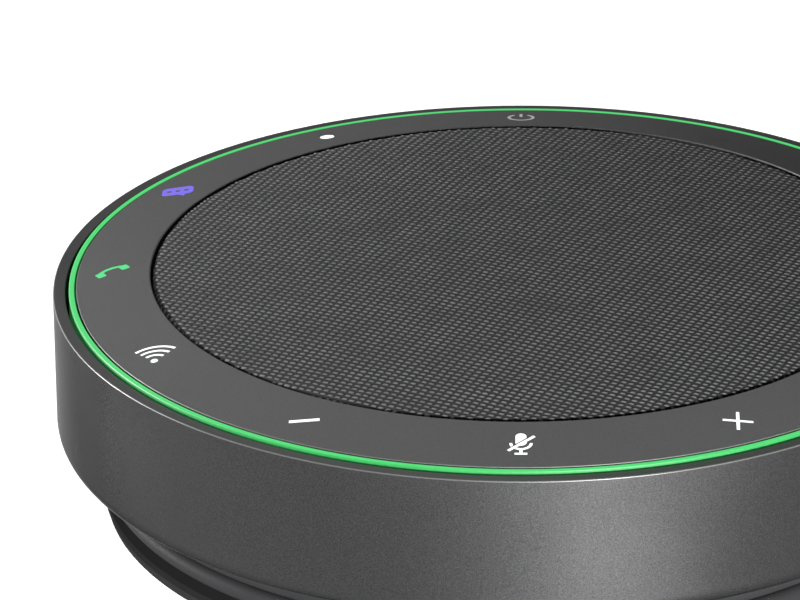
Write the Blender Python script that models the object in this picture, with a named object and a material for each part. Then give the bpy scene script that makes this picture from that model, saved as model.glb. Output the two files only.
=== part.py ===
"""Conference speakerphone: a round desk unit with a ring of lit keys round a cloth grille,
and a USB lead wound in a groove under its overhanging body.

Metres, +Z up.  The origin is the centre of the face it stands on, and the front, where the
mute key is, looks along -Y.  Each piece is one closed solid in its own object.
"""

import math

import bmesh
import bpy
from mathutils import Matrix, Vector

MM = 0.001

# Steps round a turned piece: the casings, whose gaps are narrow, and the pieces inside.
CASING_STEPS = 48
INSIDE_STEPS = 24
WELD = 1e-7

# Clearances.
GAP = 0.3 * MM                    # between pieces that rest on or against each other
KEY_GAP = 0.12 * MM               # between a key's symbol and its window
HOLE_GAP = 0.3 * MM               # round a screw's shank
HOLE_SIDES = 8                    # of a screw hole

# The body, from outside to inside.
BODY_RADIUS = 66.25 * MM
RIM_WIDTH = 1.75 * MM
RIM_EDGE = 0.22 * MM
LOWER_WALL = 3.5 * MM
SHADOW_GAP = 0.5 * MM             # between the rim and the light ring, where the sound gets in
LIGHT_WIDTH = 0.8 * MM
LIGHT_GAP = 0.25 * MM
RING_WIDTH = 10.5 * MM
RING_SLOPE = 0.1714               # how fast the key ring rises towards the grille
RING_THICKNESS = 1.4 * MM
RING_SKIRT = 1.05 * MM
GRILLE_CROWN = 1.4 * MM           # how far the grille's middle stands above its edge
FABRIC_THICKNESS = 0.5 * MM
GRILLE_THICKNESS = 1.4 * MM

# The base, from the table upwards.
OVERHANG = 6.35 * MM              # how far the body stands out past the base
FOOT_HEIGHT = 1.2 * MM
FOOT_INSET = 0.4 * MM
FOOT_WIDTH = 9.0 * MM
PLATE_THICKNESS = 2.05 * MM
LEDGE_WIDTH = 1.7 * MM            # how far the plate's edge slopes down outside the lead
LEDGE_DROP = 0.95 * MM
GROOVE_DEPTH = 3.2 * MM
DRUM_WALL = 2.0 * MM
DRUM_TOP_THICKNESS = 1.2 * MM
DRUM_TOP_WIDTH = 12.45 * MM
FLOOR_THICKNESS = 1.6 * MM        # the body's own floor, over the drum
FLOOR_WIDTH = 18.0 * MM
FLOOR_DROOP = 0.85 * MM           # how much lower the floor's outer edge hangs
LIP_GAP = 1.2 * MM                # from the base's edge out to where the floor hangs lower
EDGE_CHAMFER = 1.6 * MM

# The lead and its plug.
LEAD_DIAMETER = 2.7 * MM
TURN_GAP = 0.15 * MM              # between the lower and the upper turn
LEAD_STEP = 10.85                 # degrees, the longest straight of the lead round its turns
LEAD_RUN_IN = 12.92 * MM          # along X, from where the lead leaves the groove to the plug's tail
LEAD_HEADROOM = 0.6 * MM
PLUG_LENGTH = 23.0 * MM
PLUG_WIDTH = 10.6 * MM
PLUG_THICKNESS = 4.4 * MM
PLUG_TIP_LENGTH = 6.65 * MM
PLUG_TIP_WIDTH = 8.3 * MM
PLUG_TIP_THICKNESS = 2.5 * MM
PLUG_TIP_WALL = 0.35 * MM
PLUG_RELIEF_LENGTH = 4.5 * MM
POCKET_WALL = 1.2 * MM
POCKET_GAP = 0.6 * MM
GLAND_ANGLE = 137.0               # degrees from +X, where the lead comes out of the drum
GLAND_LENGTH = 9.5 * MM
GLAND_WALL = 0.35 * MM            # of the gland's block round the lead
GLAND_RISE = 0.5 * MM             # how far the gland lies above the upper turn
PLUG_OFFSET = 3.0 * MM            # from the middle of the back to the middle of the stowed plug
PLUG_INSET = 0.6 * MM             # from the base's outside to the plug's outer corners
POCKET_DIP = 0.55 * MM            # how far inside the plug's line the lead crosses the drum's wall
CLIMB_START = 395                 # degrees round the lead's turns where it climbs over the plug
CLIMB_END = 425
DROP_START = 468                  # and where it drops to the lower turn
DROP_END = 494

# The space inside, and what fills it.
INSIDE_HEIGHT = 10.65 * MM        # from the body's floor up to the chassis
CHASSIS_THICKNESS = 1.6 * MM
COLLAR_WIDTH = 1.5 * MM
BOARD_THICKNESS = 1.1 * MM
MAT_THICKNESS = 0.6 * MM
DOME_HEIGHT = 1.3 * MM
DOME_RADIUS = 2.2 * MM
SCREW_SHANK = 1.1 * MM
SCREW_HEAD = 2.2 * MM
SCREW_HEAD_HEIGHT = 0.8 * MM
SCREW_INSET = 10.2 * MM           # from the drum's outside to the base screws
SCREW_ANGLES = (45, 155, 225, 315)        # degrees from +X; the second one clears the plug's pocket
SCREW_TIP_DEPTH = 3.5 * MM        # from the chassis down to the screws' tips
POST_RADIUS = 3.0 * MM
POST_SPACE = 0.5 * MM             # between a post and the speaker's chamber
STANDOFF_RADIUS = 2.2 * MM
MAIN_BOARD_RADIUS = 41.0 * MM
BATTERY_SIZE = (60.0 * MM, 36.0 * MM, 6.0 * MM)
BATTERY_ROOM = 0.65 * MM          # over the battery, for it to swell
CAN_SIZE = (18.0 * MM, 12.0 * MM, 1.5 * MM)
AERIAL_SIZE = (24.0 * MM, 7.0 * MM, 1.0 * MM)
AERIAL_INSET = 8.0 * MM           # from the wall's inside to the aerial's middle
RIBBON_WIDTH = 6.0 * MM
RIBBON_THICKNESS = 0.25 * MM
MICROPHONE_ANGLES = (22.5, 112.5, 202.5, 292.5)
MICROPHONE_RADIUS = 2.6 * MM
MICROPHONE_HEIGHT = 4.0 * MM
CHAMBER_WALL = 1.6 * MM
CHAMBER_FLOOR = 1.2 * MM
CHAMBER_LIP = 3.0 * MM

# The keys.
KEY_TRAVEL = 0.3 * MM
KEY_INSET = 4.95 * MM             # from the key ring's outside to the circle of keys
KEY_FLANGE_RADIUS = 3.2 * MM
KEY_FLANGE_THICKNESS = 1.1 * MM
KEY_HEADROOM = 0.4 * MM
STROKE = 0.5 * MM                 # width of a symbol's lines
INLAY_DEPTH = 0.3 * MM            # how far a symbol's dark inner field lies below its lines

# The loudspeaker.
CONE_TRAVEL = 1.0 * MM
COIL_RADIUS = 7.1 * MM
COIL_WALL = 0.6 * MM
COIL_GAP = 0.5 * MM
YOKE_THICKNESS = 1.6 * MM
TOP_PLATE_THICKNESS = 1.8 * MM
MAGNET_RADIUS = 15.5 * MM
SPEAKER_RADIUS = 41.0 * MM
SPEAKER_LIP = 1.2 * MM
SPEAKER_SCREW_ANGLES = (30, 150, 270)
SPEAKER_SCREW_INSET = 1.9 * MM
SPEAKER_SHANK = 0.8 * MM
SPEAKER_HEAD = 1.7 * MM
SPEAKER_HEAD_HEIGHT = 1.1 * MM
BASKET_DEPTH = 3.5 * MM           # from the basket's lip down to its floor
BASKET_THICKNESS = 0.9 * MM
CONE_INSET = 15.0 * MM            # from the speaker's outside to the cone's
BASKET_FLOOR_INSET = 6.0 * MM     # from the cone's outside to the basket's floor
CONE_DEPTH = 3.3 * MM
CONE_THICKNESS = 0.6 * MM
CAP_RADIUS = 9.5 * MM
CAP_RISE = 1.5 * MM

# Radii that follow.
rim_inner = BODY_RADIUS - RIM_WIDTH
light_outer = rim_inner - SHADOW_GAP
light_inner = light_outer - LIGHT_WIDTH
ring_outer = light_inner - LIGHT_GAP
ring_inner = ring_outer - RING_WIDTH
key_circle = ring_outer - KEY_INSET
fabric_outer = ring_inner - GAP
frame_outer = fabric_outer - FABRIC_THICKNESS - GAP
base_radius = BODY_RADIUS - OVERHANG
drum_radius = base_radius - GROOVE_DEPTH
lead_radius = LEAD_DIAMETER / 2
wind_radius = (drum_radius + GAP + lead_radius) / math.cos(math.radians(LEAD_STEP) / 2)
screw_circle = drum_radius - SCREW_INSET
wall_inner = BODY_RADIUS - LOWER_WALL
floor_inner = wall_inner - FLOOR_WIDTH
chamber_radius = screw_circle - POST_RADIUS - POST_SPACE - CHAMBER_LIP
foot_outer = base_radius - FOOT_INSET
foot_inner = foot_outer - FOOT_WIDTH
label_radius = screw_circle - SCREW_HEAD - 2.0 * MM
cone_radius = SPEAKER_RADIUS - CONE_INSET
basket_floor_radius = cone_radius - BASKET_FLOOR_INSET
speaker_screw_circle = SPEAKER_RADIUS - SPEAKER_SCREW_INSET
gland_reach = math.degrees(GLAND_LENGTH / wind_radius)

# Heights that follow.
plate_low = FOOT_HEIGHT + GAP
plate_top = plate_low + PLATE_THICKNESS
plate_middle = FOOT_HEIGHT - GAP
plate_edge = plate_top - LEDGE_DROP
lead_low = plate_top + GAP + lead_radius
lead_high = lead_low + LEAD_DIAMETER + TURN_GAP
plug_low = plate_top + GAP
plug_middle = plug_low + PLUG_THICKNESS / 2
lead_over_plug = plug_low + PLUG_THICKNESS + GAP + lead_radius
drum_top = lead_over_plug + lead_radius + LEAD_HEADROOM
floor_low = drum_top + GAP
floor_top = floor_low + FLOOR_THICKNESS
chassis_low = floor_top + INSIDE_HEIGHT
chassis_top = chassis_low + CHASSIS_THICKNESS
board_low = chassis_top + GAP
mat_low = board_low + BOARD_THICKNESS + GAP
dome_top = mat_low + MAT_THICKNESS + DOME_HEIGHT
key_low = dome_top + KEY_TRAVEL + 0.1 * MM
key_flange_top = key_low + KEY_FLANGE_THICKNESS
ring_edge = key_flange_top + KEY_HEADROOM + RING_THICKNESS - RING_SLOPE * (KEY_INSET - KEY_FLANGE_RADIUS)
rim_height = ring_edge - 0.5 * MM
wall_low = floor_low - FLOOR_DROOP
skirt_low = dome_top
grille_edge = ring_edge + RING_SLOPE * RING_WIDTH
crown_top = grille_edge + GRILLE_CROWN
gland_height = lead_high + GLAND_RISE
main_board_low = plate_top + GAP + BATTERY_SIZE[2] + BATTERY_ROOM
screw_tip = chassis_low - SCREW_TIP_DEPTH
speaker_low = chassis_top + GAP
basket_floor = speaker_low - BASKET_DEPTH
chamber_low = floor_top + 0.4 * MM
chamber_top = chassis_low - GAP

# The stowed plug lies along X, just inside the base's edge at the back, its tail to +X.
plug_start = PLUG_LENGTH / 2 + PLUG_OFFSET
plug_end = plug_start - PLUG_LENGTH
plug_tip_end = plug_end - GAP - PLUG_TIP_LENGTH
plug_tail = plug_start + PLUG_RELIEF_LENGTH
plug_line = math.sqrt((base_radius - PLUG_INSET) ** 2 - plug_start ** 2) - PLUG_WIDTH / 2
pocket_end = math.sqrt((drum_radius + lead_radius) ** 2 - (plug_line - POCKET_DIP) ** 2)

# The lead's turns begin and end at these angles, counted on from +X past 360 degrees.
lead_start = GLAND_ANGLE + gland_reach
lead_end = 360 + 360 + math.degrees(math.acos((plug_tail + LEAD_RUN_IN) / wind_radius))


# ---------------------------------------------------------------- finishes

def finish(name, colour, roughness, metallic=0.0, glow=0.0):
    """A Principled material; a glow makes it shine in its own colour."""
    made = bpy.data.materials.new(name)
    made.use_nodes = True
    shader = made.node_tree.nodes["Principled BSDF"]
    shader.inputs["Base Color"].default_value = (*colour, 1.0)
    shader.inputs["Roughness"].default_value = roughness
    shader.inputs["Metallic"].default_value = metallic
    shader.inputs["Emission Color"].default_value = (*colour, 1.0)
    shader.inputs["Emission Strength"].default_value = glow
    return made


# ---------------------------------------------------------------- shapes

def turned(outline, steps):
    """An outline of (radius, height) points turned once round Z.

    An outline with both ends on the axis is closed by it, and any other is a closed loop."""
    shape = bmesh.new()
    points = [shape.verts.new((radius, 0.0, height)) for radius, height in outline]
    on_axis = outline[0][0] == 0.0 and outline[-1][0] == 0.0
    ends = points[1:] if on_axis else points[1:] + points[:1]
    edges = [shape.edges.new(pair) for pair in zip(points, ends)]
    bmesh.ops.spin(shape, geom=points + edges, axis=(0, 0, 1), cent=(0, 0, 0),
                   angle=2 * math.pi, steps=steps, use_merge=True)
    bmesh.ops.remove_doubles(shape, verts=shape.verts, dist=WELD)
    bmesh.ops.recalc_face_normals(shape, faces=shape.faces)
    return shape


def tube_outline(inner, outer, low, high):
    """The outline of a plain ring."""
    return [(inner, low), (outer, low), (outer, high), (inner, high)]


def rod_outline(radius, low, high):
    """The outline of a plain round rod."""
    return [(0.0, low), (radius, low), (radius, high), (0.0, high)]


def box(low, high):
    """A box between two corners."""
    shape = bmesh.new()
    bmesh.ops.create_cube(shape, size=1.0)
    size = Vector(high) - Vector(low)
    middle = (Vector(high) + Vector(low)) / 2
    bmesh.ops.scale(shape, vec=size, verts=shape.verts)
    bmesh.ops.translate(shape, vec=middle, verts=shape.verts)
    return shape


def centred_box(size, middle):
    """A box of a size round a middle point."""
    half = Vector(size) / 2
    return box(Vector(middle) - half, Vector(middle) + half)


def prism(outline, low, top):
    """An upright prism on a flat outline; top gives the height of its upper face at x, y."""
    shape = bmesh.new()
    lower = [shape.verts.new((x, y, low)) for x, y in outline]
    upper = [shape.verts.new((x, y, top(x, y))) for x, y in outline]
    shape.faces.new(lower)
    shape.faces.new(upper)
    for index in range(len(outline)):
        after = (index + 1) % len(outline)
        shape.faces.new((lower[index], lower[after], upper[after], upper[index]))
    bmesh.ops.recalc_face_normals(shape, faces=shape.faces)
    return shape


def moved(shape, place, turn=0.0):
    """The shape turned about Z by an angle in degrees, then moved."""
    matrix = Matrix.Translation(place) @ Matrix.Rotation(math.radians(turn), 4, "Z")
    bmesh.ops.transform(shape, matrix=matrix, verts=shape.verts)
    return shape


def around(radius, angle, height=0.0):
    """A point on a circle round Z; the angle is in degrees from +X."""
    turn = math.radians(angle)
    return Vector((radius * math.cos(turn), radius * math.sin(turn), height))


# ---------------------------------------------------------------- solids

def solid(name, shape, surface, place=(0, 0, 0)):
    """An object made of a shape, with its origin at place and its mesh round that."""
    mesh = bpy.data.meshes.new(name)
    shape.to_mesh(mesh)
    shape.free()
    made = bpy.data.objects.new(name, mesh)
    made.location = place
    if surface:
        mesh.materials.append(surface)
    bpy.context.scene.collection.objects.link(made)
    return made


def combine(target, shape, operation):
    """Unites the target with a shape, cuts the shape out of it or keeps what they share."""
    tool = solid("tool", shape, None)
    step = target.modifiers.new("combine", "BOOLEAN")
    step.operation = operation
    step.solver = "EXACT"
    step.object = tool
    bpy.context.view_layer.update()
    result = target.evaluated_get(bpy.context.evaluated_depsgraph_get())
    mesh = bpy.data.meshes.new_from_object(result)
    before = target.data
    target.modifiers.clear()
    target.data = mesh
    bpy.data.meshes.remove(before)
    mesh.name = target.name
    bpy.data.objects.remove(tool)


def unite(target, shape):
    combine(target, shape, "UNION")


def cut(target, shape):
    combine(target, shape, "DIFFERENCE")


def smooth_all():
    """Round faces are shaded smooth, and edges sharper than 35 degrees stay crisp."""
    for made in bpy.context.scene.objects:
        if made.type == "MESH":
            made.data.shade_smooth()
            made.data.set_sharp_from_angle(angle=math.radians(35))


# ---------------------------------------------------------------- the key symbols
#
# A symbol is a list of flat outlines round its own middle, +X to the right and +Y up.  Each is
# drawn a little bigger by grow, which makes the window that it moves in.

def bar(start, end, width, grow):
    """A straight stroke."""
    start = Vector(start)
    end = Vector(end)
    along = (end - start).normalized()
    across = Vector((-along.y, along.x)) * (width / 2 + grow)
    start = start - along * grow
    end = end + along * grow
    return [tuple(p) for p in (start - across, end - across, end + across, start + across)]


def disc(middle, radius, grow, sides=12):
    """A round spot."""
    points = []
    for index in range(sides):
        angle = 2 * math.pi * index / sides
        points.append((middle[0] + (radius + grow) * math.cos(angle),
                       middle[1] + (radius + grow) * math.sin(angle)))
    return points


def arc(middle, radius, start, end, width, grow, sides=7):
    """A stroke along a circle, between two angles in degrees from +X."""
    first = math.radians(start) - grow / radius
    last = math.radians(end) + grow / radius
    angles = [first + (last - first) * index / (sides - 1) for index in range(sides)]
    outer = radius + width / 2 + grow
    inner = radius - width / 2 - grow
    points = [(middle[0] + outer * math.cos(a), middle[1] + outer * math.sin(a)) for a in angles]
    points += [(middle[0] + inner * math.cos(a), middle[1] + inner * math.sin(a))
               for a in reversed(angles)]
    return points


def block(low, high, corner, grow, sides=3):
    """A rectangle with rounded corners."""
    points = []
    middles = ((high[0] - corner, high[1] - corner, 0), (low[0] + corner, high[1] - corner, 90),
               (low[0] + corner, low[1] + corner, 180), (high[0] - corner, low[1] + corner, 270))
    for x, y, start in middles:
        for index in range(sides):
            angle = math.radians(start + 90 * index / (sides - 1))
            points.append((x + (corner + grow) * math.cos(angle), y + (corner + grow) * math.sin(angle)))
    return points


def rotated(outlines, angle):
    """Outlines turned about the symbol's middle by an angle in degrees."""
    cosine = math.cos(math.radians(angle))
    sine = math.sin(math.radians(angle))
    return [[(x * cosine - y * sine, x * sine + y * cosine) for x, y in outline]
            for outline in outlines]


def mute_symbol(grow):
    """A microphone on its stand, crossed out."""
    return [block((-0.73 * MM, 0.0), (0.73 * MM, 2.75 * MM), 0.7 * MM, grow, 4),
            arc((0.0, 0.55 * MM), 1.35 * MM, 180, 360, 0.38 * MM, grow, 9),
            bar((0.0, -0.9 * MM), (0.0, -1.75 * MM), 0.36 * MM, grow),
            bar((-0.85 * MM, -1.85 * MM), (0.85 * MM, -1.85 * MM), 0.38 * MM, grow),
            bar((-1.7 * MM, -1.15 * MM), (1.8 * MM, 2.15 * MM), 0.42 * MM, grow)]


def mute_inlay(grow):
    """The dark field between the microphone and the arm that holds it."""
    return [disc((0.0, 0.55 * MM), 1.3 * MM, grow)]


def volume_down_symbol(grow):
    return [bar((-2.05 * MM, 0.0), (2.05 * MM, 0.0), 0.58 * MM, grow)]


def volume_up_symbol(grow):
    return [bar((-2.05 * MM, 0.0), (2.05 * MM, 0.0), STROKE, grow),
            bar((0.0, -2.1 * MM), (0.0, 2.1 * MM), STROKE, grow)]


def wireless_symbol(grow):
    """Waves spreading from a point."""
    root = (0.0, -1.7 * MM)
    return [disc((0.0, -1.55 * MM), 0.5 * MM, grow, 12),
            arc(root, 1.75 * MM, 48, 132, STROKE, grow),
            arc(root, 2.9 * MM, 48, 132, STROKE, grow),
            arc(root, 4.05 * MM, 48, 132, STROKE, grow)]


def handset_symbol(grow):
    """A handset lying with its ear and mouth pieces down."""
    return [arc((0.0, -2.2 * MM), 3.05 * MM, 52, 128, 0.62 * MM, grow),
            block((-2.45 * MM, -1.0 * MM), (-1.2 * MM, 0.55 * MM), 0.3 * MM, grow),
            block((1.2 * MM, -1.0 * MM), (2.45 * MM, 0.55 * MM), 0.3 * MM, grow)]


def answer_symbol(grow):
    return rotated(handset_symbol(grow), 28)


def meeting_symbol(grow):
    """A speech bubble with its tail."""
    tail = [(-0.3 * MM - grow, -1.0 * MM), (1.1 * MM + grow, -1.0 * MM), (1.1 * MM + grow, -2.3 * MM - grow)]
    return [block((-2.3 * MM, -1.35 * MM), (2.3 * MM, 2.1 * MM), 0.9 * MM, grow, 4), tail]


def meeting_marks():
    """Three dots sunk in the speech bubble."""
    return [disc((x * MM, 0.38 * MM), 0.36 * MM, 0.0, 8) for x in (-1.25, 0.0, 1.25)]


def shortcut_symbol(grow):
    return [disc((0.0, 0.0), 1.06 * MM, grow, 20)]


def power_symbol(grow):
    return [arc((0.0, -0.1 * MM), 1.82 * MM, 122, 418, 0.45 * MM, grow, 17),
            bar((0.0, 0.3 * MM), (0.0, 2.3 * MM), 0.45 * MM, grow)]


def link_symbol(grow):
    """Two open loops with a bar between them."""
    return [arc((-1.0 * MM, 0.0), 1.1 * MM, 65, 295, STROKE, grow, 9),
            arc((1.0 * MM, 0.0), 1.1 * MM, -115, 115, STROKE, grow, 9),
            bar((-0.85 * MM, 0.0), (0.85 * MM, 0.0), STROKE, grow)]


def battery_symbol(grow):
    return [block((-2.2 * MM, -1.2 * MM), (1.75 * MM, 1.2 * MM), 0.35 * MM, grow),
            block((1.5 * MM, -0.5 * MM), (2.2 * MM, 0.5 * MM), 0.15 * MM, grow)]


def battery_marks():
    """The empty part of the charge."""
    return [block((0.2 * MM, -0.75 * MM), (1.3 * MM, 0.75 * MM), 0.15 * MM, 0.0)]


def crossing_mark():
    """The dark line beside the stroke that crosses out the microphone."""
    return [bar((-0.95 * MM, 0.0), (1.15 * MM, 1.98 * MM), 0.18 * MM, 0.0)]


# Name, angle round from the front with + to the right, symbol, sunk field, sunk marks, colour.
KEYS = (
    ("key_mute", 0, mute_symbol, mute_inlay, crossing_mark, "white"),
    ("key_volume_up", 30, volume_up_symbol, None, None, "white"),
    ("key_link", 60, link_symbol, None, None, "white"),
    ("key_end_call", 90, handset_symbol, None, None, "red"),
    ("key_battery", 150, battery_symbol, None, battery_marks, "white"),
    ("key_power", 180, power_symbol, None, None, "white"),
    ("key_shortcut", -150, shortcut_symbol, None, None, "white"),
    ("key_meeting", -120, meeting_symbol, None, meeting_marks, "violet"),
    ("key_answer", -90, answer_symbol, None, None, "green"),
    ("key_wireless", -60, wireless_symbol, None, None, "white"),
    ("key_volume_down", -30, volume_down_symbol, None, None, "white"),
)


def key_place(angle):
    """Where a key's middle stands, for its angle round from the front."""
    return around(key_circle, angle - 90)


def ring_height(radius):
    """The key ring's upper surface."""
    return ring_edge + RING_SLOPE * (ring_outer - radius)


def key_face(place, drop=0.0):
    """A plane that touches the key ring's surface at a key, as heights round the key's middle."""
    outward = place.normalized()

    def height(x, y):
        return ring_height(key_circle) - RING_SLOPE * (x * outward.x + y * outward.y) - drop

    return height


# ---------------------------------------------------------------- casings

def build_housing(surface):
    """The outer shell: a straight wall with a flat rim, and a floor that turns in under it."""
    outline = [(rim_inner, rim_height), (BODY_RADIUS - RIM_EDGE, rim_height),
               (BODY_RADIUS, rim_height - RIM_EDGE), (BODY_RADIUS, wall_low + EDGE_CHAMFER),
               (BODY_RADIUS - EDGE_CHAMFER, wall_low), (base_radius + LIP_GAP, wall_low),
               (base_radius + LIP_GAP, floor_low), (floor_inner, floor_low), (floor_inner, floor_top),
               (wall_inner, floor_top), (wall_inner, chassis_low - GAP), (rim_inner, chassis_low - GAP)]
    housing = solid("outer_housing", turned(outline, CASING_STEPS), surface)
    for angle in SCREW_ANGLES:
        hole = turned(rod_outline(SCREW_SHANK + HOLE_GAP, floor_low - MM, floor_top + MM), HOLE_SIDES)
        cut(housing, moved(hole, around(screw_circle, angle), angle + 180 / HOLE_SIDES))


def build_light_ring(surface):
    """The lit ring: a thin upright band on a foot that reaches in over the lamps."""
    foot_reach = ring_outer - 1.75 * MM
    foot_low = mat_low + 0.2 * MM
    foot_top = skirt_low - 0.4 * MM
    band_top = rim_height + 0.4 * MM
    outline = [(foot_reach, foot_low), (light_outer, foot_low), (light_outer, band_top),
               (light_inner, band_top), (light_inner, foot_top), (foot_reach, foot_top)]
    solid("light_ring", turned(outline, CASING_STEPS), surface)


def build_button_ring(surface):
    """The sloping ring round the grille, with a window in the shape of each key's symbol."""
    inner_skirt = ring_inner + RING_SKIRT
    outer_skirt = ring_outer - RING_SKIRT
    outline = [(outer_skirt, skirt_low), (ring_outer, skirt_low), (ring_outer, ring_edge),
               (ring_inner, grille_edge), (ring_inner, skirt_low), (inner_skirt, skirt_low),
               (inner_skirt, ring_height(inner_skirt) - RING_THICKNESS),
               (outer_skirt, ring_height(outer_skirt) - RING_THICKNESS)]
    ring = solid("button_ring", turned(outline, CASING_STEPS), surface)
    for _, angle, symbol, inlay, _, _ in KEYS:
        place = key_place(angle)
        outlines = symbol(KEY_GAP) + (inlay(KEY_GAP) if inlay else [])
        for flat in outlines:
            window = prism(flat, key_flange_top, lambda x, y: grille_edge + MM)
            cut(ring, moved(window, place))


def build_grille(cloth, carrier):
    """The cloth stretched over a perforated carrier, both domed."""
    def crown(radius):
        return crown_top - GRILLE_CROWN * (radius / ring_inner) ** 2

    rounding = 0.35 * MM
    rings = [fabric_outer * share for share in (0.0, 0.35, 0.7)]
    upper = [(radius, crown(radius)) for radius in rings]
    upper.append((fabric_outer - rounding, crown(fabric_outer) - 0.03 * MM))
    upper.append((fabric_outer, crown(fabric_outer) - rounding))
    hem = [(fabric_outer, ring_edge - MM), (fabric_outer - FABRIC_THICKNESS, ring_edge - MM)]
    lower = [(fabric_outer - FABRIC_THICKNESS, crown(fabric_outer) - FABRIC_THICKNESS - rounding)]
    lower += [(radius, crown(radius) - FABRIC_THICKNESS) for radius in reversed(rings)]
    solid("grille_fabric", turned(upper + hem + lower, CASING_STEPS), cloth)

    def under(radius):
        return crown(radius) - FABRIC_THICKNESS - GAP

    frame_low = ring_edge - 2.5 * MM
    skirt = frame_outer - 1.5 * MM
    rings = [frame_outer * share for share in (0.0, 0.5, 0.85)]
    top = [(radius, under(radius)) for radius in rings]
    top += [(frame_outer - 0.6 * MM, under(frame_outer) - 0.15 * MM),
            (frame_outer, under(frame_outer) - 0.75 * MM), (frame_outer, frame_low), (skirt, frame_low),
            (skirt, under(skirt) - GRILLE_THICKNESS)]
    top += [(radius, under(radius) - GRILLE_THICKNESS) for radius in reversed(rings)]
    frame = solid("grille_frame", turned(top, INSIDE_STEPS), carrier)
    for count, share in ((5, 0.3), (9, 0.65)):
        for index in range(count):
            hole = turned(rod_outline(6.0 * MM, ring_edge - 3 * MM, crown_top + MM), 6)
            cut(frame, moved(hole, around(frame_outer * share, 360 * (index + 0.5) / count)))


def build_base(drum_surface, plate_surface, rubber, label_surface):
    """The drum the lead is wound on, the plate under it, the rubber foot and a blank label."""
    build_drum(drum_surface)
    edge = 0.2 * MM
    outline = [(0.0, plate_low + 0.4 * MM), (label_radius + GAP, plate_low + 0.4 * MM),
               (label_radius + GAP, plate_middle), (foot_inner - GAP, plate_middle),
               (foot_inner - GAP, plate_low), (base_radius - edge, plate_low),
               (base_radius, plate_low + edge), (base_radius, plate_edge),
               (base_radius - LEDGE_WIDTH, plate_top), (0.0, plate_top)]
    plate = solid("base_plate", turned(outline, CASING_STEPS), plate_surface)
    for angle in SCREW_ANGLES:
        place = around(screw_circle, angle)
        shaft = turned(rod_outline(SCREW_SHANK + HOLE_GAP, 0.0, plate_top + MM), HOLE_SIDES)
        sink = turned(rod_outline(SCREW_HEAD + GAP, 0.0, plate_middle + SCREW_HEAD_HEIGHT + GAP), 12)
        cut(plate, moved(shaft, place))
        cut(plate, moved(sink, place))
    for angle in (0, 90, 180, 270):
        post = turned(rod_outline(STANDOFF_RADIUS, plate_top - 0.5 * MM, main_board_low - GAP), 8)
        unite(plate, moved(post, around(MAIN_BOARD_RADIUS - 4.0 * MM, angle)))
    foot = [(foot_inner, 0.0), (foot_outer - edge, 0.0), (foot_outer, edge), (foot_outer, FOOT_HEIGHT),
            (foot_inner, FOOT_HEIGHT)]
    solid("foot_ring", turned(foot, CASING_STEPS), rubber)
    label = rod_outline(label_radius, plate_middle + 0.1 * MM, plate_low + 0.1 * MM)
    solid("label_plate", turned(label, CASING_STEPS), label_surface)


def build_drum(surface):
    """The drum's wall and top, its screw bosses, the plug's pocket and the gland's notch."""
    inner = drum_radius - DRUM_WALL
    under = drum_top - DRUM_TOP_THICKNESS
    outline = [(inner, plug_low), (drum_radius, plug_low), (drum_radius, drum_top),
               (drum_radius - DRUM_TOP_WIDTH, drum_top), (drum_radius - DRUM_TOP_WIDTH, under),
               (inner, under)]
    drum = solid("cable_drum", turned(outline, CASING_STEPS), surface)
    low, high = pocket_corners(POCKET_WALL)
    tub = solid("tub", box(low, high), surface)
    combine(tub, turned(rod_outline(drum_radius - 0.02 * MM, 0.0, high.z), CASING_STEPS), "INTERSECT")
    shaped = bmesh.new()
    shaped.from_mesh(tub.data)
    bpy.data.objects.remove(tub)
    unite(drum, shaped)
    low, high = pocket_corners(0.0)
    cut(drum, box((low.x, low.y, 0.0), high))
    for angle in SCREW_ANGLES:
        place = around(screw_circle, angle)
        unite(drum, moved(turned(rod_outline(POST_RADIUS, plug_low, drum_top - 0.4 * MM), 10), place))
        hole = turned(rod_outline(SCREW_SHANK + HOLE_GAP, 0.0, drum_top + MM), HOLE_SIDES)
        cut(drum, moved(hole, place))
    half = lead_radius + GLAND_WALL + GAP
    notch = box((drum_radius - 2 * DRUM_TOP_WIDTH, -half, gland_height - half),
                (BODY_RADIUS, half, drum_top + MM))
    cut(drum, moved(notch, (0, 0, 0), GLAND_ANGLE))


def pocket_corners(wall):
    """The lowest and highest corners of the space that the plug is stowed in, or of its walls."""
    room = POCKET_GAP + wall
    low = Vector((plug_tip_end - room, plug_line - PLUG_WIDTH / 2 - room, plug_low))
    high = Vector((pocket_end + wall, BODY_RADIUS, plug_low + PLUG_THICKNESS + GAP + wall))
    return low, high


# ---------------------------------------------------------------- the lead

def ease(value, start, end):
    """0 before start, 1 after end, and a smooth rise between."""
    share = min(max((value - start) / (end - start), 0.0), 1.0)
    return share * share * (3 - 2 * share)


def lead_height(angle):
    """The lead's height round its turns; the angle runs on from the gland, past 360 degrees."""
    settle = gland_height + (lead_high - gland_height) * ease(angle, lead_start + 2, lead_start + 16)
    upper = settle + (lead_over_plug - lead_high) * ease(angle, CLIMB_START, CLIMB_END)
    return upper + (lead_low - upper) * ease(angle, DROP_START, DROP_END)


def lead_route():
    """The lead's middle line: out of the gland, over the plug, down to the lower turn, to the plug."""
    steps = math.ceil((lead_end - lead_start) / LEAD_STEP)
    points = []
    for index in range(steps + 1):
        angle = lead_start + (lead_end - lead_start) * index / steps
        points.append(around(wind_radius, angle, lead_height(angle)))
    start = points[-1]
    end = Vector((plug_tail + GAP, plug_line, plug_middle))
    reach = (end - start).length
    leave = around(1.0, lead_end + 90) * reach
    arrive = Vector((-1.0, 0.0, 0.0)) * reach
    for share in (0.34, 0.67, 1.0):
        square = share * share
        cube = square * share
        points.append(start * (2 * cube - 3 * square + 1) + leave * (cube - 2 * square + share)
                      + end * (3 * square - 2 * cube) + arrive * (cube - square))
    return points


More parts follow.
